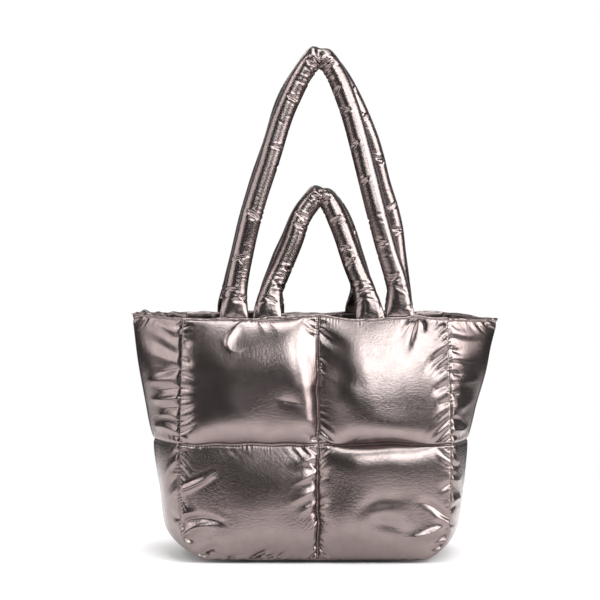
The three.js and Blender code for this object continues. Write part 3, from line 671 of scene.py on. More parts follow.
def gusset(name, seed):
    t = np.linspace(-1, 1, 64 + 1)
    places = gusset_places()
    M = np.array([gusset_row(*p, t) for p in places])
    n, m = M.shape[:2]
    q1, q2 = 56, n - 1 - 56
    s_at = np.concatenate([[0], np.cumsum(np.linalg.norm(np.diff(M[:, m // 2], axis=0), axis=1))])
    A, B = np.broadcast_to(s_at[:, None], (n, m)), np.broadcast_to(t[None] * 73, (n, m))
    free = np.ones((n, m))
    free[0] = free[-1] = free[q1] = free[q2] = 0
    free[:, 0] = free[:, -1] = 0
    rows = np.arange(n)[:, None]
    up = bump_profile(np.clip(rows / q1, 0, 1)) * (rows <= q1) + bump_profile(np.clip((n - 1 - rows) / (n - 1 - q2), 0, 1)) * (rows >= q2)
    mid = bump_profile(np.clip(np.minimum(rows - q1, q2 - rows) / 60, 0, 0.5)) * ((rows > q1) & (rows < q2))
    height = (up + mid) * bump_profile((t[None] + 1) / 2)
    N = grid_normals(M)
    inside = np.array([0, 0, 120.0])
    sign = 1.0 if float(((M - inside) * N).sum(-1).mean()) > 0 else -1.0
    d_edge = (1 - np.abs(t))[None] * 73 + 0 * A
    d_quilt = np.minimum.reduce([np.abs(A - s_at[k]) for k in (0, q1, q2, n - 1)])
    noise = (0.25 + np.exp(-np.minimum(d_edge, d_quilt) / 18)) * (waves(seed, 28, 11, 40)(A, B) + 0.5 * waves(seed + 1, 28, 6, 14)(A, B))
    seam_z = np.broadcast_to(M[:, :1, 2], (n, m))
    fold = np.zeros((n, m))
    for end, part in ((-1, rows[:, 0] < n // 2), (1, rows[:, 0] >= n // 2)):
        fold[part] = fold_heights(B[part], seam_z[part], END_FOLDS[end])
    fold *= smooth(np.minimum(d_edge, d_quilt) / 5.5) * smooth((seam_z - 8) / 20)
    lumps = waves(seed + 3, 14, 40, 110)(A, B)
    top = M + (sign * ((6.5 + 1.2 * lumps) * height + fold))[..., None] * N
    slow = waves(seed + 2, 12, 40, 140)(A, B)
    gu = 0.020 + 0.006 * slow + 0.03 * np.exp(-d_quilt / 8) * uneven(seed + 21, B)
    gv = 0.024 - 0.006 * slow + (0.014 + 0.022 * smooth((seam_z - 100) / 40)) * np.exp(-d_edge / 9) * uneven(seed + 22, A + 400 * (t[None] > 0))
    push = 0.005 * np.ones((n, m))

    def floor(X, s):
        X[..., 2] = np.maximum(X[..., 2], 0.0)
    X = settle(M, free, gu, gv, top, push,
               [(4, 120, 3, 4.0, 0.06, 0.12, 1.2), (2, 120, 4, 2.0, 0.045, 0.14, 0.6), (1, 130, 4, 1.0, 0.035, 0.14, 0.3)],
               [q1, q2], [], noise=noise, sign=sign, kc=0.45, hook=floor, top=top, normal=N)
    Xf = finer(X, [q1, q2], [])
    Lf = finer(np.stack([A, B], -1), [q1, q2], [])
    nf, mf = Xf.shape[:2]
    d_col = np.minimum(np.arange(mf), mf - 1 - np.arange(mf))[None] * 1.15 + 0 * Lf[..., 0]
    d_row = np.minimum.reduce([np.abs(np.arange(nf) - c) for c in (0, 2 * q1, 2 * q2, nf - 1)])[:, None] * 1.2 + 0 * Lf[..., 0]
    fine_z, fine_b = finer(seam_z[..., None], [q1, q2], [])[..., 0], Lf[..., 1]
    crisp = np.zeros((nf, mf))
    for end, part in ((-1, np.arange(nf) < nf // 2), (1, np.arange(nf) >= nf // 2)):
        crisp[part] = fold_heights(fine_b[part], fine_z[part], narrow_ones(END_FOLDS[end]), 1.2, 0.5)
    crisp *= smooth(np.minimum(d_col, d_row) / 2.5) * smooth((fine_z - 8) / 20)
    Xf = Xf + (sign * 0.30 * crisp)[..., None] * grid_normals(Xf)
    Xf = gather_cloth(Xf, d_col, Lf[..., 0], sign, 0.55 * smooth(d_row / 3), 2.2, 3.4, seed + 5)
    Xf = gather_cloth(Xf, d_row, Lf[..., 1], sign, 0.34 * smooth(d_col / 3), 2.4, 4.0, seed + 6)
    to_quilt = np.minimum(np.abs(np.arange(nf) - 2 * q1), np.abs(np.arange(nf) - 2 * q2))[:, None] + 0 * d_col
    Xf = groove(Xf, to_quilt, sign, 1.3)
    for edge in (np.s_[:, 0], np.s_[:, -1]):
        Xf[edge] += 1.7 * tuck(Xf[edge])
    for edge in (np.s_[:, 1], np.s_[:, -2]):
        Xf[edge] += 0.8 * tuck(Xf[edge])
    Xf[..., 2] = np.maximum(Xf[..., 2], 0.0)
    tf = np.linspace(-1, 1, mf)
    hems, count = {}, len(HEM_PROFILE)
    for end in (-1, 1):
        ripple = waves(seed + 7 + end, 14, 5, 26)(tf * 73, 0 * tf)
        edge_wave = waves(seed + 9 + end, 10, 16, 50)(tf * 73, 0 * tf) * (1 - np.abs(tf) ** 6)
        band = []
        for share, out in HEM_PROFILE:
            p = gusset_row(end, HEM_Z + HEM * share, 0, 0, tf)
            p[:, 2] += 1.3 * edge_wave * share
            nn = unit(np.cross(np.gradient(p, axis=0), np.array([0, 0, 1.0])))
            nn[(nn[:, 0] * end) < 0] *= -1
            band.append(p + (out + 0.45 * ripple * math.sin(math.pi * min(share, 0.9)))[:, None] * nn)
        hems[end] = np.array(band)
    outer = np.concatenate([hems[-1][::-1], Xf, hems[1]])
    step = 4
    Mi = M[::step, ::step]
    Ni = grid_normals(M)[::step, ::step] * sign
    inner = Mi - (FLAT_IN * 0.9 + 3.4 * height[::step, ::step])[..., None] * Ni
    lips = []
    for col in (0, -1):
        ring = outer[count:count + nf, col]
        lips.append(np.stack([ring, ring + 2.4 * tuck(ring)], 0))
    parts = [outer, inner, lips[0], lips[1]]
    verts = np.concatenate([p.reshape(-1, 3) for p in parts])
    quads, base = [], 0
    for k, p in enumerate(parts):
        quads.append(grid_faces(p.shape[0], p.shape[1], base, flip=(sign < 0) ^ (k in (1, 3))))
        base += p.shape[0] * p.shape[1]
    uv_h = lambda end: np.stack([np.broadcast_to((-2.0 * np.arange(count, 0, -1) if end < 0 else s_at[-1] + 2.0 * np.arange(1, count + 1))[:, None], (count, mf)), np.broadcast_to(tf[None] * 73, (count, mf))], -1)
    uv = np.concatenate([np.concatenate([uv_h(-1), Lf, uv_h(1)]).reshape(-1, 2), np.stack([A, B], -1)[::step, ::step].reshape(-1, 2), np.zeros((sum(l.size // 3 for l in lips), 2))]) / 100.0
    ob = make(name, verts, np.concatenate(quads), uv)
    return ob, {"left": Xf[2 * q1], "right": Xf[2 * q2], "hem_left": Xf[0], "hem_right": Xf[-1]}


# ------------------------------------------------------------------ facing inside the rim
def tab_bump(side, x):
    full, clear = TAB_W / 2 + 1.5, TAB_W / 2 + 8
    out = np.zeros_like(x)
    for h in LEGS.values():
        if h["side"] == side:
            for tab in (h["left"][0], h["right"][0]):
                out = np.maximum(out, smooth((clear - np.abs(x - tab)) / (clear - full)))
    return out


def facing(name, seed):
    zs = np.linspace(0, 1, 22)
    w = waves(seed, 24, 8, 34)
    xs = np.linspace(-140.6, 140.6, 150)
    ts = np.linspace(-1, 1, 84)
    rows = []
    for k, f in enumerate(zs):
        z = RIM_Z - 0.6 - (FACING_FALL - 0.6) * f
        deep = smooth(f * 8)
        line = []
        for part in ("front", "right", "back", "left"):
            if part in ("front", "back"):
                side = -1 if part == "front" else 1
                x = xs if part == "front" else xs[::-1]
                p = panel_point(side, x, np.full_like(x, z))
                off = FLAT_IN + LAY_GAP + (TAB_T + LAY_GAP) * tab_bump(side, x) + 0.8 * deep * np.maximum(0, 1 + w(x + side * 300, 0.4 * z + 0 * x))
                line.append(p - off[:, None] * panel_normal(side, p[:, 2]))
            else:
                end = 1 if part == "right" else -1
                t = ts[1:-1] if end > 0 else ts[::-1][1:-1]
                p = gusset_row(end, z, 0, 0, t)
                q = gusset_row(end, z - 4, 0, 0, t)
                nn = unit(np.cross(np.gradient(p, axis=0), p - q))
                nn[(nn[:, 0] * end) < 0] *= -1
                off = FLAT_IN + 2 * LAY_GAP + 1.2 * deep * np.maximum(0, 1 + w(t * 73 + end * 900, 0.5 * z + 0 * t)) + 1.2 * np.exp(-(t / 0.05) ** 2)
                line.append(p - off[:, None] * nn)
        rows.append(np.concatenate(line))
    X = np.array(rows)
    s = np.arange(X.shape[1]) * 1.9
    uv = np.stack([np.broadcast_to(s[None], X.shape[:2]), np.broadcast_to((zs * 30)[:, None], X.shape[:2])], -1).reshape(-1, 2) / 100
    ob = make(name, X.reshape(-1, 3), grid_faces(X.shape[0], X.shape[1], 0, wrap=True, flip=False), uv)
    solid = ob.modifiers.new("cloth", "SOLIDIFY")
    solid.thickness, solid.offset = 0.0009, 0.0
    return ob


# ------------------------------------------------------------------ handles
def spline(points):
    """A smooth curve through points."""
    P = np.array(points, float)
    t = np.concatenate([[0], np.cumsum(np.linalg.norm(np.diff(P, axis=0), axis=1) ** 0.5)])
    out = []
    ext = np.concatenate([[2 * P[0] - P[1]], P, [2 * P[-1] - P[-2]]])
    te = np.concatenate([[t[0] - (t[1] - t[0])], t, [t[-1] + (t[-1] - t[-2])]])
    for k in range(len(P) - 1):
        p0, p1, p2, p3 = ext[k:k + 4]
        t0, t1, t2, t3 = te[k:k + 4]
        for x in np.linspace(t1, t2, 30, endpoint=False):
            a1 = (t1 - x) / (t1 - t0) * p0 + (x - t0) / (t1 - t0) * p1
            a2 = (t2 - x) / (t2 - t1) * p1 + (x - t1) / (t2 - t1) * p2
            a3 = (t3 - x) / (t3 - t2) * p2 + (x - t2) / (t3 - t2) * p3
            b1 = (t2 - x) / (t2 - t0) * a1 + (x - t0) / (t2 - t0) * a2
            b2 = (t3 - x) / (t3 - t1) * a2 + (x - t1) / (t3 - t1) * a3
            out.append((t2 - x) / (t2 - t1) * b1 + (x - t1) / (t2 - t1) * b2)
    out.append(P[-1])
    return np.array(out)


# Kinks of the handles: leg, share of the drop, turn round the tube from its front towards its outer side (radians)
# and strength. The rest of each tube gets kinks from a fixed seed.
KINKS = dict(
    long_handle_front=[
        ("left", 0.83, -0.3, 1.3), ("left", 0.645, -0.7, 0.9), ("left", 0.39, -0.1, 1.2), ("left", 0.225, 0.1, 1.2),
        ("left", 0.10, 0.5, 0.8), ("right", 0.86, -0.9, 1.1), ("right", 0.79, -0.8, 1.2), ("right", 0.645, -0.8, 0.9),
        ("right", 0.51, -0.7, 0.8), ("right", 0.285, -0.6, 1.0), ("right", 0.15, -0.2, 1.0)],
    short_handle_front=[
        ("left", 0.80, 0.1, 1.2), ("left", 0.73, -0.3, 0.9), ("left", 0.40, -0.9, 1.3), ("left", 0.24, -0.8, 1.1),
        ("right", 0.78, -0.2, 1.0), ("right", 0.55, -0.4, 1.2), ("right", 0.43, -0.3, 1.2), ("right", 0.2, 0.3, 0.8)],
    long_handle_back=[
        ("right", 0.86, 0.5, 1.0), ("right", 0.76, 0.6, 1.1), ("right", 0.60, 0.7, 1.1), ("right", 0.42, 0.6, 1.1),
        ("right", 0.33, 0.4, 1.1)],
    short_handle_back=[("right", 0.7, 0.7, 0.9), ("right", 0.4, 0.5, 1.0)],
)


def handle(name, seed):
    h = LEGS[name]
    side, drop = h["side"], float(h["drop"])
    off = FLAT_IN + LAY_GAP + TAB_T / 2

    def end_point(x, below):
        p = panel_point(side, np.array([float(x)]), np.array([RIM_Z - below]))
        return (p - off * panel_normal(side, p[:, 2]))[0]

    def leg(key):
        root = end_point(h[key][0], 0)
        pts = [end_point(h[key][0], TAB_FALL), root]
        for r, x in list(zip(h["rise"], h[key]))[1:]:
            pts.append(np.array([x, side * (abs(root[1]) + (APEX_Y - abs(root[1])) * r), RIM_Z + drop * r]))
        return pts
    apex = np.array([h["apex"], side * APEX_Y, RIM_Z + drop])
    C = spline(leg("left") + [apex] + leg("right")[::-1])
    length = np.linalg.norm(np.diff(C, axis=0), axis=1).sum()
    C = along(C, int(round(length / 1.9)))
    s_at = np.concatenate([[0], np.cumsum(np.linalg.norm(np.diff(C, axis=0), axis=1))])
    top_row = int(np.argmin(np.linalg.norm(C - apex, axis=1)))
    feet = np.where(np.arange(len(C)) < top_row, end_point(h["left"][0], 0)[2], end_point(h["right"][0], 0)[2])
    above = C[:, 2] - feet - 1.5
    # the stuffed end sits behind the rim, and the fold at the top sags a little
    C[:, 1] -= side * 0.8 * np.maximum(0, tube_thick(above) / 2 - 2.1) * (1 - smooth((above - 30) / 90))
    C[:, 2] -= h["sink"] * np.exp(-((np.linalg.norm(C - apex, axis=1) / 12) ** 2))
    # the stuffed tube does not run quite evenly between its kinks
    loose = smooth((above - 20) / 50) * smooth((np.abs(s_at - s_at[top_row]) - 15) / 40)
    C[:, 0] += 0.9 * loose * waves(seed + 4, 8, 55, 130)(s_at, 0 * s_at)
    n, m = len(C), 36
    T = unit(np.gradient(C, axis=0))
    Y = np.array([0, 1.0, 0])
    thick = unit(Y - (T @ Y)[:, None] * T)
    wide = np.cross(T, thick)      # points to the outer side of the loop
    swell = h["swell"] * np.exp(-((np.linalg.norm(C - apex, axis=1) / 12) ** 2))
    wd, th = (tube_width(above) + swell) / 2, tube_thick(above) / 2
    a = 2 * math.pi * (np.arange(m) + 0.5) / m
    oval = 1 + (0.035 * loose * waves(seed + 5, 8, 60, 150)(s_at, 0 * s_at))[:, None] * np.cos(2 * a)[None] \
        + (0.03 * loose * waves(seed + 6, 8, 50, 120)(s_at, 0 * s_at))[:, None] * np.sin(2 * a)[None]
    ring = (wd[:, None] * np.cos(a) * oval)[..., None] * wide[:, None] + (th[:, None] * np.sin(a) * oval)[..., None] * thick[:, None]
    M = C[:, None] + ring
    A, B = np.broadcast_to(s_at[:, None], (n, m)), np.broadcast_to(a[None] * 10.8, (n, m))
    ds = np.gradient(s_at)
    # a straight sewn tube: each thread along it is nearly as long as the middle line
    real = np.linalg.norm(np.gradient(M, axis=0), axis=-1) / ds[:, None]
    keep = 0.35
    want_v = (1 + keep * (real - 1)) * 1.010 + 0.010 * waves(seed + 2, 10, 30, 90)(A, B * 0)
    gv = np.clip(want_v / np.maximum(real, 0.2) - 1, -0.12, 0.7)
    gu = 0.02 + 0.05 * np.exp(-np.maximum(above, 0) / 14)[:, None] + 0 * B
    free = np.ones((n, m))
    free[above < -2.0] = 0
    noise = 0.6 * waves(seed, 24, 9, 36)(A, B) + 0.5 * waves(seed + 1, 20, 5, 11)(A * 1.4, B * 0.35)
    r = np.random.default_rng(seed + 3)
    push = np.full((n, m), 0.045)
    kinks = []
    for leg_name, rise, turn, strong in KINKS[name]:
        part = np.arange(n) < top_row if leg_name == "left" else np.arange(n) >= top_row
        row = int(np.argmin(np.where(part, np.abs(C[:, 2] - RIM_Z - drop * rise), 1e9)))
        kinks.append((s_at[row], 1.5 * math.pi + turn, strong))
    at = 30.0
    while at < s_at[-1] - 28:
        kinks.append((at, r.uniform(0.2 * math.pi, 0.95 * math.pi), r.uniform(0.4, 1.0)))      # round the back
        at += r.uniform(34, 62)
    marks = []
    for s0, turn, strong in kinks:
        da = np.angle(np.exp(1j * (a[None] - turn)))
        spot = np.exp(-((A - s0) / 3.0) ** 2) * np.exp(-(da / 0.7) ** 2)
        push = push - 0.022 * strong * spot
        gv = gv + 0.03 * strong * spot
        slant, half = r.uniform(-0.45, 0.45), r.uniform(0.75, 1.2)
        marks.append((s0, turn, 2.3 * strong, slant, r.uniform(-0.25, 0.25), half, r.uniform(1.0, 1.25)))
        away = r.choice([-1, 1])
        marks.append((s0 + away * r.uniform(2.5, 5.0), turn + r.uniform(-0.5, 0.5), 1.0 * strong, -slant - away * 0.35, r.uniform(-0.3, 0.3), 0.6 * half, r.uniform(0.9, 1.1)))
    N = grid_normals(M, True)
    sign = 1.0 if float(((M - C[:, None]) * N).sum(-1).mean()) > 0 else -1.0
    X = M + (sign * 0.5 * noise * free)[..., None] * N
    target = C.astype(np.float32)

    def hold(Y):
        Y += ((target - Y.mean(1)) * 0.5)[:, None] * free[..., None].astype(np.float32)
    X = relax(X, free, lengths(M, gu, gv, True), 150, 4, push, kc=0.5, bend=0.07, wrap=True, hook=hold, sign=sign)
    # finer both ways
    Xw = np.concatenate([X[:, -2:], X, X[:, :3]], 1)
    fine = twice(twice(Xw, 0), 1)[:, 4:4 + 2 * m]
    nf, mf = fine.shape[:2]
    S, a_f = np.linspace(0, s_at[-1], nf)[:, None], (2 * math.pi * (np.arange(mf) / 2 + 0.5) / m)[None]
    up_f = np.interp(S[:, 0], s_at, above)
    s_top = s_at[top_row]
    # ripples each side of the fold at the top
    for away in (-1, 1):
        for k in range(4):
            marks.append((s_top + away * (5 + 4.6 * k + r.uniform(-1, 1)), math.pi + r.uniform(-0.3, 0.3), 1.5 - 0.25 * k, r.uniform(-0.3, 0.3), r.uniform(-0.2, 0.2), r.uniform(0.8, 1.3), 1.2))
        for k in range(4):
            marks.append((s_top + away * (2 + 4 * k + r.uniform(-1, 1)), 1.5 * math.pi + r.uniform(-0.8, 0.9), r.uniform(0.4, 0.9), r.uniform(-1.1, 1.1), r.uniform(-0.4, 0.4), r.uniform(0.5, 1.0), r.uniform(1.0, 1.4)))
    # small creases all along, deeper ones near the sewn ends
    at = 22.0
    while at < s_at[-1] - 22:
        marks.append((at, r.uniform(0, 2 * math.pi), r.uniform(0.1, 0.4), r.uniform(-0.6, 0.6), r.uniform(-0.3, 0.3), r.uniform(0.4, 0.9), r.uniform(0.8, 1.2)))
        at += r.uniform(5, 10)
    for foot in (0, 1):
        for k in range(5):
            row = int(np.argmin(np.where((np.arange(n) < top_row) == (foot == 0), np.abs(above - r.uniform(6, 34)), 1e9)))
            marks.append((s_at[row], r.uniform(0, 2 * math.pi), r.uniform(0.6, 1.3), r.uniform(-0.9, 0.9), r.uniform(-0.4, 0.4), r.uniform(0.6, 1.2), r.uniform(1.0, 1.6)))
    height = creases(S, a_f, marks)
    for k in range(7):
        turn, lean, tall = 2 * math.pi * (k + r.uniform(-0.4, 0.4)) / 7, r.uniform(-0.4, 0.4), r.uniform(9, 24)
        d = 10.8 * np.angle(np.exp(1j * (a_f - turn))) - lean * up_f[:, None]
        height = height - r.uniform(0.6, 1.3) * np.exp(-(np.maximum(up_f, 0) / tall) ** 1.5)[:, None] * np.exp(-np.sqrt(d * d + 0.12) / 1.4)
    # the fold at the top: a crack down both faces to the bunched cloth on the inner side, a small peak on the outer side
    past = S - s_top - 1.2 * np.sin(a_f)
    crack = np.exp(-np.sqrt(past ** 2 + 0.1) / np.where(past < 0, 1.0, 3.4)) * (0.62 + 0.38 * smooth((1.1 - np.cos(a_f)) / 0.8))
    bunch = np.exp(-(((S - s_top) / 8) ** 2)) * np.maximum(0, -np.cos(a_f)) ** 1.3
    height = height - 6.4 * crack + bunch * (1.2 + 1.3 * np.cos(2 * math.pi * (S - s_top) / 5.2 + 1.5 * np.sin(2 * a_f)))
    height = height + 1.2 * np.exp(-np.abs(S - s_top + 3) / 3.5) * np.maximum(0, np.cos(a_f))
    height *= smooth((up_f + 1.5) / 3)[:, None]
    fine = fine + (sign * height)[..., None] * grid_normals(fine, True)
    # where the two handles of a pair lean together, each one is pressed flat on its own side
    fine[..., 1] = side * (0.25 + 0.6 * np.logaddexp(0, (side * fine[..., 1] - 0.25) / 0.6))
    caps = np.array([fine[0].mean(0), fine[-1].mean(0)])
    verts = np.concatenate([fine.reshape(-1, 3), caps])
    quads = grid_faces(nf, mf, 0, wrap=True, flip=sign < 0)
    k = np.arange(mf)
    c0, c1 = nf * mf, nf * mf + 1
    tri0 = np.stack([np.full(mf, c0), (k + 1) % mf, k], 1)
    tri1 = np.stack([np.full(mf, c1), (nf - 1) * mf + k, (nf - 1) * mf + (k + 1) % mf], 1)
    if sign < 0:
        tri0, tri1 = tri0[:, ::-1], tri1[:, ::-1]
    uv = np.stack([np.broadcast_to((np.linspace(0, s_at[-1], nf))[:, None], (nf, mf)), np.broadcast_to(np.linspace(0, 68, mf)[None], (nf, mf))], -1).reshape(-1, 2)
    uv = np.concatenate([uv, [[0, 0], [0, 0]]]) / 100
    return make(name + "_tube", verts, quads, uv, np.concatenate([tri0, tri1]))


# ------------------------------------------------------------------ threads
def stitches(name, lines, pitch=3.0, long=1.8, radius=0.48, lift=0.5):
    """Rows of stitches: lines is a list of (points, outward directions)."""
    verts, tris = [], []
    sides = 5
    for P, N in lines:
        P, N = np.asarray(P, float), unit(np.asarray(N, float))
        s = np.concatenate([[0], np.cumsum(np.linalg.norm(np.diff(P, axis=0), axis=1))])
        at = np.arange(pitch, s[-1] - pitch * 0.5, pitch)
        pos = lambda t: np.stack([np.interp(t, s, P[:, k]) for k in range(3)], -1)
        nor = unit(np.stack([np.interp(at, s, N[:, k]) for k in range(3)], -1))
        a, b = pos(at - long / 2), pos(at + long / 2)
        d = unit(b - a)
        e = unit(np.cross(d, nor))
        f = np.cross(e, d)
        for k in range(len(at)):
            base = len(verts)
            up = nor[k] * lift
            verts.append(a[k] + up * 0.1)
            for share in (0.22, 0.78):
                c = a[k] + (b[k] - a[k]) * share + up
                for j in range(sides):
                    g = 2 * math.pi * j / sides
                    verts.append(c + radius * (math.cos(g) * e[k] + math.sin(g) * f[k]))
            verts.append(b[k] + up * 0.1)
            for j in range(sides):
                j2 = (j + 1) % sides
                tris.append((base, base + 1 + j2, base + 1 + j))
                tris.append((base + 1 + j, base + 1 + j2, base + 6 + j2))
                tris.append((base + 1 + j, base + 6 + j2, base + 6 + j))
                tris.append((base + 11, base + 6 + j, base + 6 + j2))
    return make(name, np.array(verts), [], None, tris)


# ------------------------------------------------------------------ materials
def node(nt, kind, **values):
    n = nt.nodes.new(kind)
    for k, v in values.items():
        if k in n.inputs.keys():
            n.inputs[k].default_value = v
        else:
            setattr(n, k, v)
    return n


def cloth_material(name, light, dark, rough=(0.18, 0.26), metallic=0.97, grain=0.08):
    mat = bpy.data.materials.new(name)
    mat.use_nodes = True
    nt = mat.node_tree
    nt.nodes.clear()
    out = node(nt, "ShaderNodeOutputMaterial")
    bsdf = node(nt, "ShaderNodeBsdfPrincipled", Metallic=metallic)
    nt.links.new(bsdf.outputs["BSDF"], out.inputs["Surface"])
    uv = node(nt, "ShaderNodeUVMap", uv_map="cloth")
    # slow changes of tone where the coating is worn and creased
    big = node(nt, "ShaderNodeTexNoise", Scale=9.0, Detail=5.0, Roughness=0.6)
    nt.links.new(uv.outputs["UV"], big.inputs["Vector"])
    fine = node(nt, "ShaderNodeTexNoise", Scale=160.0, Detail=3.0, Roughness=0.7)
    nt.links.new(uv.outputs["UV"], fine.inputs["Vector"])
    mix = node(nt, "ShaderNodeMix", data_type="RGBA")
    ramp = node(nt, "ShaderNodeMapRange")
    ramp.inputs["From Min"].default_value, ramp.inputs["From Max"].default_value = 0.3, 0.7
    nt.links.new(big.outputs["Fac"], ramp.inputs["Value"])
    nt.links.new(ramp.outputs["Result"], mix.inputs["Factor"])
    mix.inputs["A"].default_value, mix.inputs["B"].default_value = (*dark, 1), (*light, 1)
    nt.links.new(mix.outputs["Result"], bsdf.inputs["Base Color"])
    rr = node(nt, "ShaderNodeMapRange")
    rr.inputs["From Min"].default_value, rr.inputs["From Max"].default_value = 0.25, 0.75
    rr.inputs["To Min"].default_value, rr.inputs["To Max"].default_value = rough
    nt.links.new(fine.outputs["Fac"], rr.inputs["Value"])
    nt.links.new(rr.outputs["Result"], bsdf.inputs["Roughness"])
    # plain weave: two sets of threads
    weave = []
    for turn in (0.0, math.pi / 2):
        mp = node(nt, "ShaderNodeMapping")
        mp.inputs["Rotation"].default_value = (0, 0, turn)
        nt.links.new(uv.outputs["UV"], mp.inputs["Vector"])
        wv = node(nt, "ShaderNodeTexWave", Scale=36.0, Distortion=0.6)
        wv.inputs["Detail"].default_value = 1.0
        nt.links.new(mp.outputs["Vector"], wv.inputs["Vector"])
        weave.append(wv)
    add = node(nt, "ShaderNodeMath", operation="ADD")
    nt.links.new(weave[0].outputs["Fac"], add.inputs[0])
    nt.links.new(weave[1].outputs["Fac"], add.inputs[1])
    crumple = node(nt, "ShaderNodeTexNoise", Scale=38.0, Detail=4.0, Roughness=0.55)
    nt.links.new(uv.outputs["UV"], crumple.inputs["Vector"])
    b1 = node(nt, "ShaderNodeBump", Strength=grain)
    b1.inputs["Distance"].default_value = 0.0002
    nt.links.new(add.outputs["Value"], b1.inputs["Height"])
    b2 = node(nt, "ShaderNodeBump", Strength=0.16)
    b2.inputs["Distance"].default_value = 0.0012
    nt.links.new(crumple.outputs["Fac"], b2.inputs["Height"])
    nt.links.new(b1.outputs["Normal"], b2.inputs["Normal"])
    # the grain of the coated cloth
    grit = node(nt, "ShaderNodeTexNoise", Scale=105.0, Detail=2.0, Roughness=0.5)
    nt.links.new(uv.outputs["UV"], grit.inputs["Vector"])
    b3 = node(nt, "ShaderNodeBump", Strength=1.0)
    b3.inputs["Distance"].default_value = 0.00011
    nt.links.new(grit.outputs["Fac"], b3.inputs["Height"])
    nt.links.new(b2.outputs["Normal"], b3.inputs["Normal"])
    nt.links.new(b3.outputs["Normal"], bsdf.inputs["Normal"])
    return mat


def thread_material(name, colour):
    mat = bpy.data.materials.new(name)
    mat.use_nodes = True
    nt = mat.node_tree
    bsdf = nt.nodes["Principled BSDF"]
    bsdf.inputs["Metallic"].default_value = 0.3
    co = node(nt, "ShaderNodeTexCoord")
    wave = node(nt, "ShaderNodeTexNoise", Scale=900.0, Detail=2.0)
    nt.links.new(co.outputs["Object"], wave.inputs["Vector"])
    mix = node(nt, "ShaderNodeMix", data_type="RGBA")
    mix.inputs["A"].default_value = (*[c * 0.75 for c in colour], 1)
    mix.inputs["B"].default_value = (*colour, 1)
    nt.links.new(wave.outputs["Fac"], mix.inputs["Factor"])
    nt.links.new(mix.outputs["Result"], bsdf.inputs["Base Color"])
    bsdf.inputs["Roughness"].default_value = 0.5
    return mat


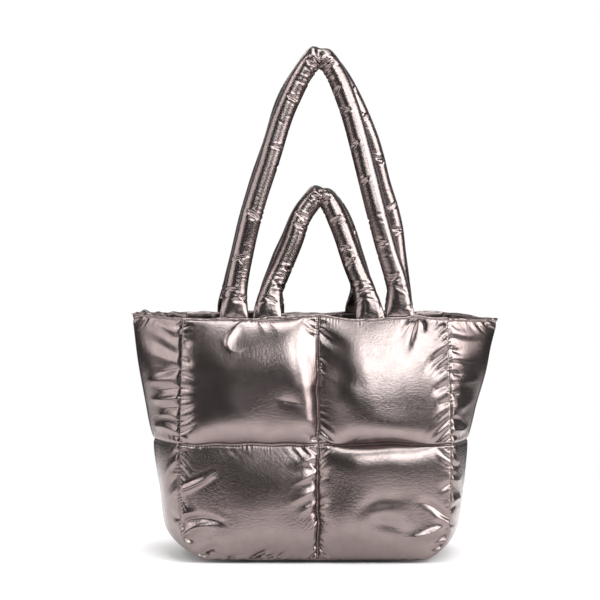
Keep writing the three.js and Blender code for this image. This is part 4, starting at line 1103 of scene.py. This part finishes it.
# ------------------------------------------------------------------ building
FRONT_FOLDS = [
    # line of points (x, z), half width at the start and at the end, height, lean, starts at a seam
    ([(-66, 264), (-79, 251), (-89, 239), (-93, 229), (-90, 222), (-84, 220), (-76, 222), (-69, 227)], 2.6, 3.2, 3.6, 0.5, 0),
    ([(-24, 264), (-25, 215), (-26, 165), (-26, 135)], 28, 28, 4.2, -0.6, 1),
    ([(-60, 255), (-56, 245), (-52, 235)], 2, 3, 1.2, 0, 1),
    ([(-50, 254), (-42, 243), (-38, 234)], 2, 3, 1.0, 0, 1),
    ([(-44, 172), (-28, 169), (-8, 165)], 4, 3.5, -1.8, 0, 0),
    ([(2, 189), (-13, 184), (-38, 183)], 5, 7, 1.2, 0, 1),
    ([(2, 149), (-15, 151), (-38, 153)], 5, 7, 1.2, 0, 1),
    ([(2, 128), (-9, 136), (-21, 140)], 2.5, 4, -2.4, 0, 1),
    ([(-142, 237), (-136, 231), (-131, 223)], 2.0, 2.6, -2.0, 0, 1),
    ([(-142, 214), (-134, 210), (-128, 204)], 2.4, 2.4, -2.6, 0, 1),
    ([(-143, 199), (-134, 196), (-124, 189)], 2.0, 2.6, -2.4, 0, 1),
    ([(-143, 184), (-135, 183), (-126, 180)], 2.6, 2.2, -2.6, 0, 1),
    ([(-143, 171), (-136, 172), (-126, 173)], 1.8, 2.4, -1.8, 0, 1),
    ([(-143, 160), (-134, 163), (-122, 169)], 2.0, 2.6, -2.2, 0, 1),
    ([(-143, 147), (-134, 152), (-121, 160)], 2.0, 2.6, -2.2, 0, 1),
    ([(-143, 136), (-133, 142), (-119, 151)], 2.0, 2.6, -2.0, 0, 1),
    ([(6, 205), (27, 196), (49, 187), (74, 171)], 7, 12, -1.5, 0.3, 1),
    ([(10, 178), (38, 167), (72, 153)], 9, 12, 0.5, 0, 0),
    ([(106, 258), (96, 245), (88, 230)], 3, 6, -2.2, 0, 1),
    ([(108, 256), (100, 235), (93, 211)], 2.5, 6, -2.0, 0, 1),
    ([(112, 256), (114, 247), (114, 237)], 2, 4, -1.8, 0, 1),
    ([(142, 225), (127, 214), (114, 193)], 2.5, 6, -2.6, 0, 1),
    ([(142, 211), (131, 203), (123, 193)], 2.5, 5, -2.2, 0, 1),
    ([(142, 189), (132, 184), (123, 177)], 2.5, 4.5, -2.2, 0, 1),
    ([(143, 170), (134, 168), (127, 165)], 2.5, 4, -1.6, 0, 1),
    ([(37, 125), (45, 133), (58, 143)], 2.5, 4, -0.8, 0, 1),
    ([(58, 125), (64, 132), (74, 140)], 2.5, 4, -0.6, 0, 1),
    ([(6, 239), (22, 230), (40, 221)], 4, 8, -1.8, 0, 1),
    ([(-143, 76), (-128, 82), (-106, 93), (-100, 96)], 2.4, 2.8, 4.2, 0.3, 1),
    ([(-142, 51), (-133, 54), (-122, 54)], 3, 3, 1.8, 0, 1),
    ([(-140, 36), (-136, 44), (-123, 48), (-107, 47), (-91, 41)], 2.6, 3.5, -3.2, 0, 1),
    ([(-139, 32), (-122, 39), (-101, 39)], 4, 6, 3.0, 0, 1),
    ([(-141, 30), (-133, 32), (-123, 32)], 1.6, 2.4, 2.6, 0, 1),
    ([(-141, 28), (-132, 26), (-123, 25)], 1.6, 2.4, -2.2, 0, 1),
    ([(-140, 27), (-132, 22), (-125, 20)], 1.6, 2.4, 2.4, 0, 1),
    ([(-139, 25), (-134, 19), (-131, 13)], 1.6, 2.4, 2.0, 0, 1),
    ([(3, 98), (-12, 90), (-32, 80)], 3, 5, 1.6, 0, 1),
    ([(3, 81), (-14, 72), (-36, 60)], 3, 6, 1.8, 0, 1),
    ([(3, 66), (-10, 59), (-24, 50)], 2.5, 4, 1.4, 0, 1),
    ([(3, 112), (-12, 107), (-34, 101)], 3, 5, 1.4, 0, 1),
    ([(-69, 3), (-56, 11), (-43, 18)], 2.6, 3.4, -4.0, 0, 1),
    ([(-58, 3), (-47, 8), (-36, 11)], 2.2, 3.0, -3.0, 0, 1),
    ([(-97, 2), (-88, 6), (-80, 9)], 2.2, 2.6, -2.6, 0, 1),
    ([(-120, 9), (-110, 16), (-99, 20)], 2.5, 4, -1.8, 0, 1),
    ([(-40, 6), (-31, 13), (-24, 18)], 2.5, 4, -1.6, 0, 1),
    ([(40, 46), (52, 58), (67, 65), (87, 67), (118, 74)], 5.5, 7, -2.2, 0, 0),
    ([(52, 53), (81, 57), (108, 57)], 8, 8, 1.4, 0, 0),
    ([(52, 45), (80, 42), (96, 35), (114, 37)], 6.2, 4, -2.4, 0, 0),
    ([(136, 40), (113, 31), (88, 28)], 2.6, 4.5, 3.4, 0.2, 0),
    ([(136, 50), (120, 62), (100, 65)], 3, 3, -2.4, 0, 0),
    ([(143, 46), (134, 52), (124, 61)], 2.2, 3.5, -2.6, 0, 1),
    ([(143, 41), (134, 46), (122, 51)], 2.2, 3.5, 2.2, 0, 1),
    ([(140, 30), (129, 25), (115, 20)], 2.2, 3, -2.0, 0, 1),
    ([(138, 21), (125, 17), (113, 14)], 2.2, 3, -1.8, 0, 1),
    ([(143, 85), (135, 80), (127, 73)], 2.2, 3, -1.4, 0, 1),
    ([(4, 93), (11, 91), (19, 87)], 2.2, 3, -1.2, 0, 1),
    ([(4, 61), (11, 63), (20, 62)], 2.2, 3, -1.2, 0, 1),
]
PEWTER, PEWTER_DARK = (0.250, 0.200, 0.193), (0.213, 0.170, 0.164)
shell = cloth_material("pewter_cloth", PEWTER, PEWTER_DARK)
tube = cloth_material("pewter_tube_cloth", PEWTER, PEWTER_DARK)
lining = cloth_material("pewter_facing_cloth", (0.224, 0.180, 0.173), (0.188, 0.150, 0.144), rough=(0.3, 0.44))
thread = thread_material("thread", (0.085, 0.074, 0.072))


def finish_piece(ob, node_name, mat):
    ob.data.materials.clear()
    ob.data.materials.append(mat)
    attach(ob, "root")
    if node_name:
        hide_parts(node_name)


front, front_seams = panel("front_panel_cloth", -1, 11, FRONT_FOLDS)
finish_piece(front, "front_panel", shell)
back, back_seams = panel("back_panel_cloth", 1, 47, FRONT_FOLDS, 0.8)
finish_piece(back, "back_panel", shell)
strip, strip_seams = gusset("gusset_cloth", 71)
finish_piece(strip, "gusset", shell)
inside = facing("rim_facing_cloth", 93)
finish_piece(inside, "rim_facing", lining)
for k, name in enumerate(LEGS):
    finish_piece(handle(name, 120 + 10 * k), name, tube)

rows = []
for seams, side in ((front_seams, -1), (back_seams, 1)):
    for key in ("upright", "level"):
        P = seams[key]
        rows.append((P, panel_normal(side, P[:, 2])))
for key, end in (("left", -1), ("right", 1)):
    P = strip_seams[key]
    nn = np.cross(np.gradient(P, axis=0), np.array([0, 0, 1.0]))
    nn[(nn[:, 0] * end) < 0] *= -1
    rows.append((P, nn))
thread_ob = stitches("seam_threads", rows)
finish_piece(thread_ob, None, thread)

# ------------------------------------------------------------------ stage, light and camera
def area(name, at, aim, wide, high, power, colour=(1, 1, 1)):
    data = bpy.data.lights.new(name, "AREA")
    data.shape, data.size, data.size_y, data.energy = "RECTANGLE", wide, high, power
    data.color = colour
    ob = bpy.data.objects.new(name, data)
    bpy.context.scene.collection.objects.link(ob)
    ob.location = at
    ob.rotation_euler = (Vector(aim) - Vector(at)).to_track_quat("-Z", "Y").to_euler()
    ob.visible_camera = False
    return ob


me = bpy.data.meshes.new("floor")
me.from_pydata([(-1.0, -1.1, 0), (0.72, -1.1, 0), (0.72, 0.6, 0), (-1.0, 0.6, 0)], [], [(0, 1, 2, 3)])
floor = bpy.data.objects.new("floor", me)
bpy.context.scene.collection.objects.link(floor)
fm = bpy.data.materials.new("floor")
fm.use_nodes = True
fb = fm.node_tree.nodes["Principled BSDF"]
fb.inputs["Base Color"].default_value = (0.605, 0.575, 0.575, 1)
fb.inputs["Roughness"].default_value = 0.9
fb.inputs["Specular IOR Level"].default_value = 0.0
fb.inputs["Emission Color"].default_value = (1, 1, 1, 1)
# painted glow: the floor's own emission washes out the bag's cast shadow away from the bag, and fades to almost none
# near and under it
place = node(fm.node_tree, "ShaderNodeTexCoord")
reach = node(fm.node_tree, "ShaderNodeVectorMath", operation="LENGTH")
painted_floor_glow = node(fm.node_tree, "ShaderNodeMapRange", interpolation_type="SMOOTHSTEP")
for key, value in (("From Min", 0.09), ("From Max", 0.27), ("To Min", 0.02), ("To Max", 0.78)):
    painted_floor_glow.inputs[key].default_value = value
fm.node_tree.links.new(place.outputs["Object"], reach.inputs[0])
fm.node_tree.links.new(reach.outputs["Value"], painted_floor_glow.inputs["Value"])
fm.node_tree.links.new(painted_floor_glow.outputs["Result"], fb.inputs["Emission Strength"])
me.materials.append(fm)

# a white ground to look at, and a dim room round the lights
world = bpy.data.worlds.new("studio")
bpy.context.scene.world = world
world.use_nodes = True
wt = world.node_tree
wt.nodes.clear()
wo = node(wt, "ShaderNodeOutputWorld")
bg = node(wt, "ShaderNodeBackground", Strength=1.0)
wt.links.new(bg.outputs["Background"], wo.inputs["Surface"])
ray = node(wt, "ShaderNodeLightPath")
tone = node(wt, "ShaderNodeMix", data_type="RGBA")
tone.inputs["B"].default_value = (1.0, 1.0, 1.0, 1)
# the room is dim on the camera's side, and a pale backdrop stands behind the bag
way = node(wt, "ShaderNodeTexCoord")
split = node(wt, "ShaderNodeSeparateXYZ")
wt.links.new(way.outputs["Generated"], split.inputs["Vector"])
behind = node(wt, "ShaderNodeMapRange", interpolation_type="SMOOTHSTEP")
above = node(wt, "ShaderNodeMapRange", interpolation_type="SMOOTHSTEP")
for ramp, key, low, high in ((behind, "Y", 0.30, 0.95), (above, "Z", -0.10, 0.12)):
    ramp.inputs["From Min"].default_value, ramp.inputs["From Max"].default_value = low, high
    wt.links.new(split.outputs[key], ramp.inputs["Value"])
both = node(wt, "ShaderNodeMath", operation="MULTIPLY")
wt.links.new(behind.outputs["Result"], both.inputs[0])
wt.links.new(above.outputs["Result"], both.inputs[1])
room = node(wt, "ShaderNodeMix", data_type="RGBA")
room.inputs["A"].default_value, room.inputs["B"].default_value = (0.040, 0.040, 0.041, 1), (0.42, 0.42, 0.43, 1)
wt.links.new(both.outputs["Value"], room.inputs["Factor"])
wt.links.new(room.outputs["Result"], tone.inputs["A"])
wt.links.new(ray.outputs["Is Camera Ray"], tone.inputs["Factor"])
wt.links.new(tone.outputs["Result"], bg.inputs["Color"])

COOL = (0.93, 1.0, 1.0)
area("top", (0.15, -0.33, 2.0), (0.15, -0.2, 0.2), 1.4, 1.2, 32, COOL)
area("key_core", (0.46, -1.66, 1.32), (0, 0, 0.2), 0.95, 0.9, 9, COOL)
area("key_right", (0.91, -1.45, 1.40), (0, 0, 0.2), 2.2, 1.25, 24, COOL)
area("key_wide", (1.08, -1.46, 1.46), (0, 0, 0.2), 2.2, 1.6, 8, COOL)
area("side_left", (-1.68, -0.45, 0.80), (0, 0, 0.2), 1.5, 1.0, 11)
area("side_left_high", (-1.25, -0.55, 1.65), (0, 0, 0.2), 0.9, 0.55, 8)
area("side_right", (1.66, -0.68, 0.85), (0, 0, 0.2), 1.2, 1.3, 31)
area("back_high", (-0.7, 1.6, 1.6), (0, 0, 0.2), 1.2, 0.7, 6)

cam_data = bpy.data.cameras.new("camera")
cam = bpy.data.objects.new("camera", cam_data)
bpy.context.scene.collection.objects.link(cam)
DIST = 2.4
cam_data.sensor_width = 36.0
cam_data.lens = 36.0 * DIST / 0.6465
cam.location = (-0.016, -DIST, 0.375)
cam.rotation_euler = (Vector((-0.016, 0, 0.274)) - cam.location).to_track_quat("-Z", "Y").to_euler()
cam_data.clip_end = 50
bpy.context.scene.camera = cam
bpy.context.scene.view_settings.view_transform = "Standard"
